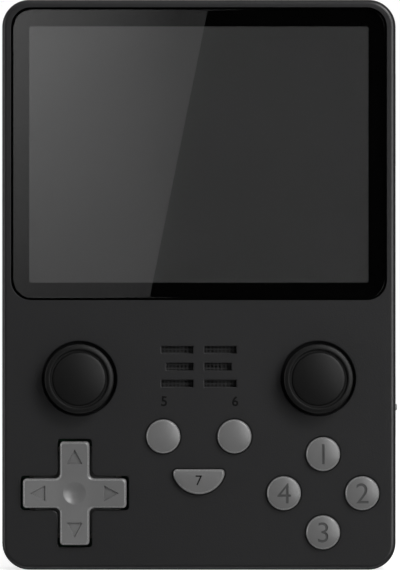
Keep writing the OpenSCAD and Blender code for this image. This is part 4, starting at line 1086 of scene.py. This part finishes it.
for name, x in KEYS.items():
    bm = bmesh.new()
    ends = [(g, KEY_HALF + z) for g, z in rounding(0.5, 0, STUD)[1:]]
    rows = [(g, x - half) for g, half in ends] + [(g, x + half) for g, half in reversed(ends)]
    for ring in stacked(bm, key_section, rows, ACROSS):
        cover(bm, [ring])
    made = solid(bm, name + "_skin", key_abs)
    plate = tool(block, (x - 7.6, x + 7.6), (106.5, 115.9), (2.0, 2.81))
    web = tool(block, (x - 6.99, x + 6.99), (HINGE[0], 107.5), (2.01, 2.79))
    barrel = tool(bar, circle(*HINGE, BARREL_R, 32), (x - 6.98, x + 6.98))
    for part in (plate, web, barrel):
        combine(made, part, "UNION")
    combine(made, tool(bar, circle(*HINGE, PIN_HOLE_R, 24), (x - 8, x + 8)), "DIFFERENCE")
    dress(made, name, "button", name)

# %% [markdown]
# ## Keys on the right edge
# The volume rocker and the power button stand 0.3 mm out of the edge. Both are bars with round corners and a soft
# outer edge. The power button has a small round nub to find it by touch.

# %% Volume rocker and power button
SIDE_OUT, PLATE_MORE = 41.55, 0.7
NUB = [(0.7, 41.0), (0.7, 41.65), (0.62, 41.78), (0.45, 41.83), (0.2, 41.85)]


def side_key(name, y, length, x_in):
    """The bar of a side key, from inside the wall to its softened outer face."""
    bm = bmesh.new()
    rows = [(g, SIDE_OUT + z) for g, z in rounding(0.3, 0, STUD)] + [(0, x_in)]
    capped(bm, grown(y, SIDE_Z, length, 3.2, 0.7), rows, ACROSS)
    return solid(bm, name, key_abs)


y, length = SIDE_KEYS["volume"]
rocker = side_key("volume_rocker_skin", y, length, 38.75)
combine(rocker, tool(turned, ROCKER_X, y, [(0, 2.6), (0.6, 2.6), (0.6, 7.59), (0, 7.59)], 24), "UNION")
dress(rocker, "volume", "button", "volume_rocker")

y, length = SIDE_KEYS["power"]
power = side_key("power_button_skin", y, length, 38.6)
half = length / 2
plate = tool(block, (38.59, 39.3), (y - half - PLATE_MORE, y + half + PLATE_MORE), (3.9, 8.1))
nub = tool(capped, lambda r: circle(y, SIDE_Z, r, 32), NUB, ACROSS)
for part in (plate, nub):
    combine(power, part, "UNION")
dress(power, "power", "button", "power_button")

# %% [markdown]
# ## Charging sockets
# Each socket is a drawn steel sleeve with a round-ended mouth and a tongue inside. The sleeve is skinned from the
# same long outline that the case was cut with. The contacts on the tongue repeat, so Geometry Nodes lay them along
# a line: one small gold strip, twelve times on each side.

# %% Sleeves
SLEEVE = [(0, 112.0), (0, 119.2), (-0.05, 119.3), (-0.25, 119.3), (-0.3, 119.2), (-0.3, 113.0)]
TONGUE = [(0, 112.5), (0, 116.8), (-0.12, 117.0)]
socket_plastic = moulded("black_socket_plastic", "#101010", "#161616", 0.5, 0.2, 0.01)
for name, x in zip(("charge_port", "second_port"), PORTS):
    bm = bmesh.new()
    capped(bm, port_outline(x), SLEEVE, UP)
    sleeve = solid(bm, name + "_skin", nickel)
    tongue = tool(capped, grown(x, PORT_Z, 6.7, 0.7, 0.2, 3), TONGUE, UP, finishes=[socket_plastic])
    combine(sleeve, tongue, "UNION")
    dress(sleeve, "console", "steel", name)

# %% Contacts along the tongues
CONTACT_PITCH, CONTACTS, CONTACT_Y, CONTACT_OUT = 0.5, 12, 115.3, 0.36
STRIP = (0.25 * MM, 0.06 * MM, 2.6 * MM)

strip_tree, given = geometry_tree("contacts_in_a_row", "Contacts", Starts="Geometry", Size="Vector", Pitch="Float",
                                  Count="Int", Finish="Material")
gap = add(strip_tree, "ShaderNodeCombineXYZ", {"X": given["Pitch"]})
row = add(strip_tree, "GeometryNodeMeshLine", {"Count": given["Count"], "Offset": gap.outputs[0]})
strip = add(strip_tree, "GeometryNodeMeshCube", {"Size": given["Size"]})
strips = add(strip_tree, "GeometryNodeInstanceOnPoints", {
    "Points": row.outputs[0], "Instance": strip.outputs["Mesh"]})
rows = add(strip_tree, "GeometryNodeInstanceOnPoints", {"Points": given["Starts"], "Instance": strips.outputs[0]})
real = add(strip_tree, "GeometryNodeRealizeInstances", {"Geometry": rows.outputs[0]})
painted(strip_tree, real, given["Finish"])

contacts = points_at("port_contacts", [
    (x - CONTACT_PITCH * (CONTACTS - 1) / 2, CONTACT_Y, PORT_Z + side * CONTACT_OUT)
    for x in PORTS for side in (-1, 1)])
repeat_on(contacts, strip_tree, Size=STRIP, Pitch=CONTACT_PITCH * MM, Count=CONTACTS, Finish=gold)
dress(contacts, "console", "steel")

# %% [markdown]
# ## Printed numerals
# The two menu buttons carry nothing themselves. A small black numeral is printed on the shell above each, as thin
# ink: text made a mesh, two hundredths of a millimetre thick, lying on the front face.

# %% Printed numerals
for text, x in (("5", -7.3), ("6", 7.6)):
    mark = numeral(text, 2.1, x, 35.35, (FRONT - 0.01, FRONT + 0.02), print_ink, 0.02)
    dress(mark, "console", "shell")

# %% [markdown]
# ## What lies inside
# The parts inside the case keep their CAD shapes, because no one sees them before the case is opened. Each still
# gets the finish of its real material: green solder mask with fine tracks, black epoxy chips, a foil-wrapped
# battery, white silicone, black acetal, amber polyimide and coloured wire.

# %% Finishes inside
def tracked(name, mask, copper, width):
    """A circuit board or ribbon: solder mask or film over fine copper tracks of a given width in mm."""
    made, tree = blank(name)
    turned_up = add(tree, "ShaderNodeMapping", {"Vector": own_place(tree), "Rotation": (math.pi / 2, 0.0, 0.0)})
    tracks = add(tree, "ShaderNodeTexBrick", {
        "Vector": turned_up.outputs[0], "Color1": linear(mask), "Color2": linear(mask), "Mortar": linear(copper),
        "Scale": 1 / (12 * width * MM), "Mortar Size": 0.02})
    show(tree, add(tree, "ShaderNodeBsdfPrincipled", {
        "Base Color": tracks.outputs["Color"], "Roughness": 0.35, "IOR": 1.5}))
    return made


epoxy = moulded("black_epoxy", "#121212", "#1a1a1a", 0.6, 0.2, 0.02)
inside = {
    tracked("green_solder_mask", "#1d4a32", "#2f6a49", 0.2): ["main_board", "key_board"],
    tracked("amber_polyimide", "#a06a22", "#b98a3c", 0.1): ["lcd_ribbon"],
    epoxy: ["main_chips", "speaker", "headphone_jack", "side_switches"],
    moulded("grey_foil_wrap", "#565a60", "#646970", 0.35, 0.4, 0.02): ["battery"],
    moulded("red_pvc_wire", "#96291f", "#a53529", 0.45, 0.3, 0.01): ["battery_lead", "speaker_lead"],
    moulded("white_silicone", "#cfcdc6", "#dcdad3", 0.5, 0.3, 0.01): [
        "pad_membrane", "action_membrane", "menu_membrane", "key_membranes"],
    moulded("black_acetal", "#101010", "#161616", 0.4, 0.3, 0.01): [
        side + "_stick_" + yoke for side in ("left", "right") for yoke in ("lower_yoke", "upper_yoke")],
    tape_and_gap_shade: ["screen_adhesive"],
    moulded("white_diffuser", "#d8d8d8", "#e2e2e2", 0.5, 0.3, 0.01): ["lcd_backlight"],
    display_film: ["lcd_panel"],
    nickel: ["board_screws", "pad_pivot_ball", "upper_card_socket", "lower_card_socket", "left_key_pin",
             "right_key_pin", "left_stick_lever", "right_stick_lever"],
    blackened: ["left_stick_housing", "right_stick_housing"],
}
for finish, nodes in inside.items():
    for node in nodes:
        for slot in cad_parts[node].material_slots:
            slot.material = finish
print("nodes with a finish of their own:", sum(len(nodes) for nodes in inside.values()))
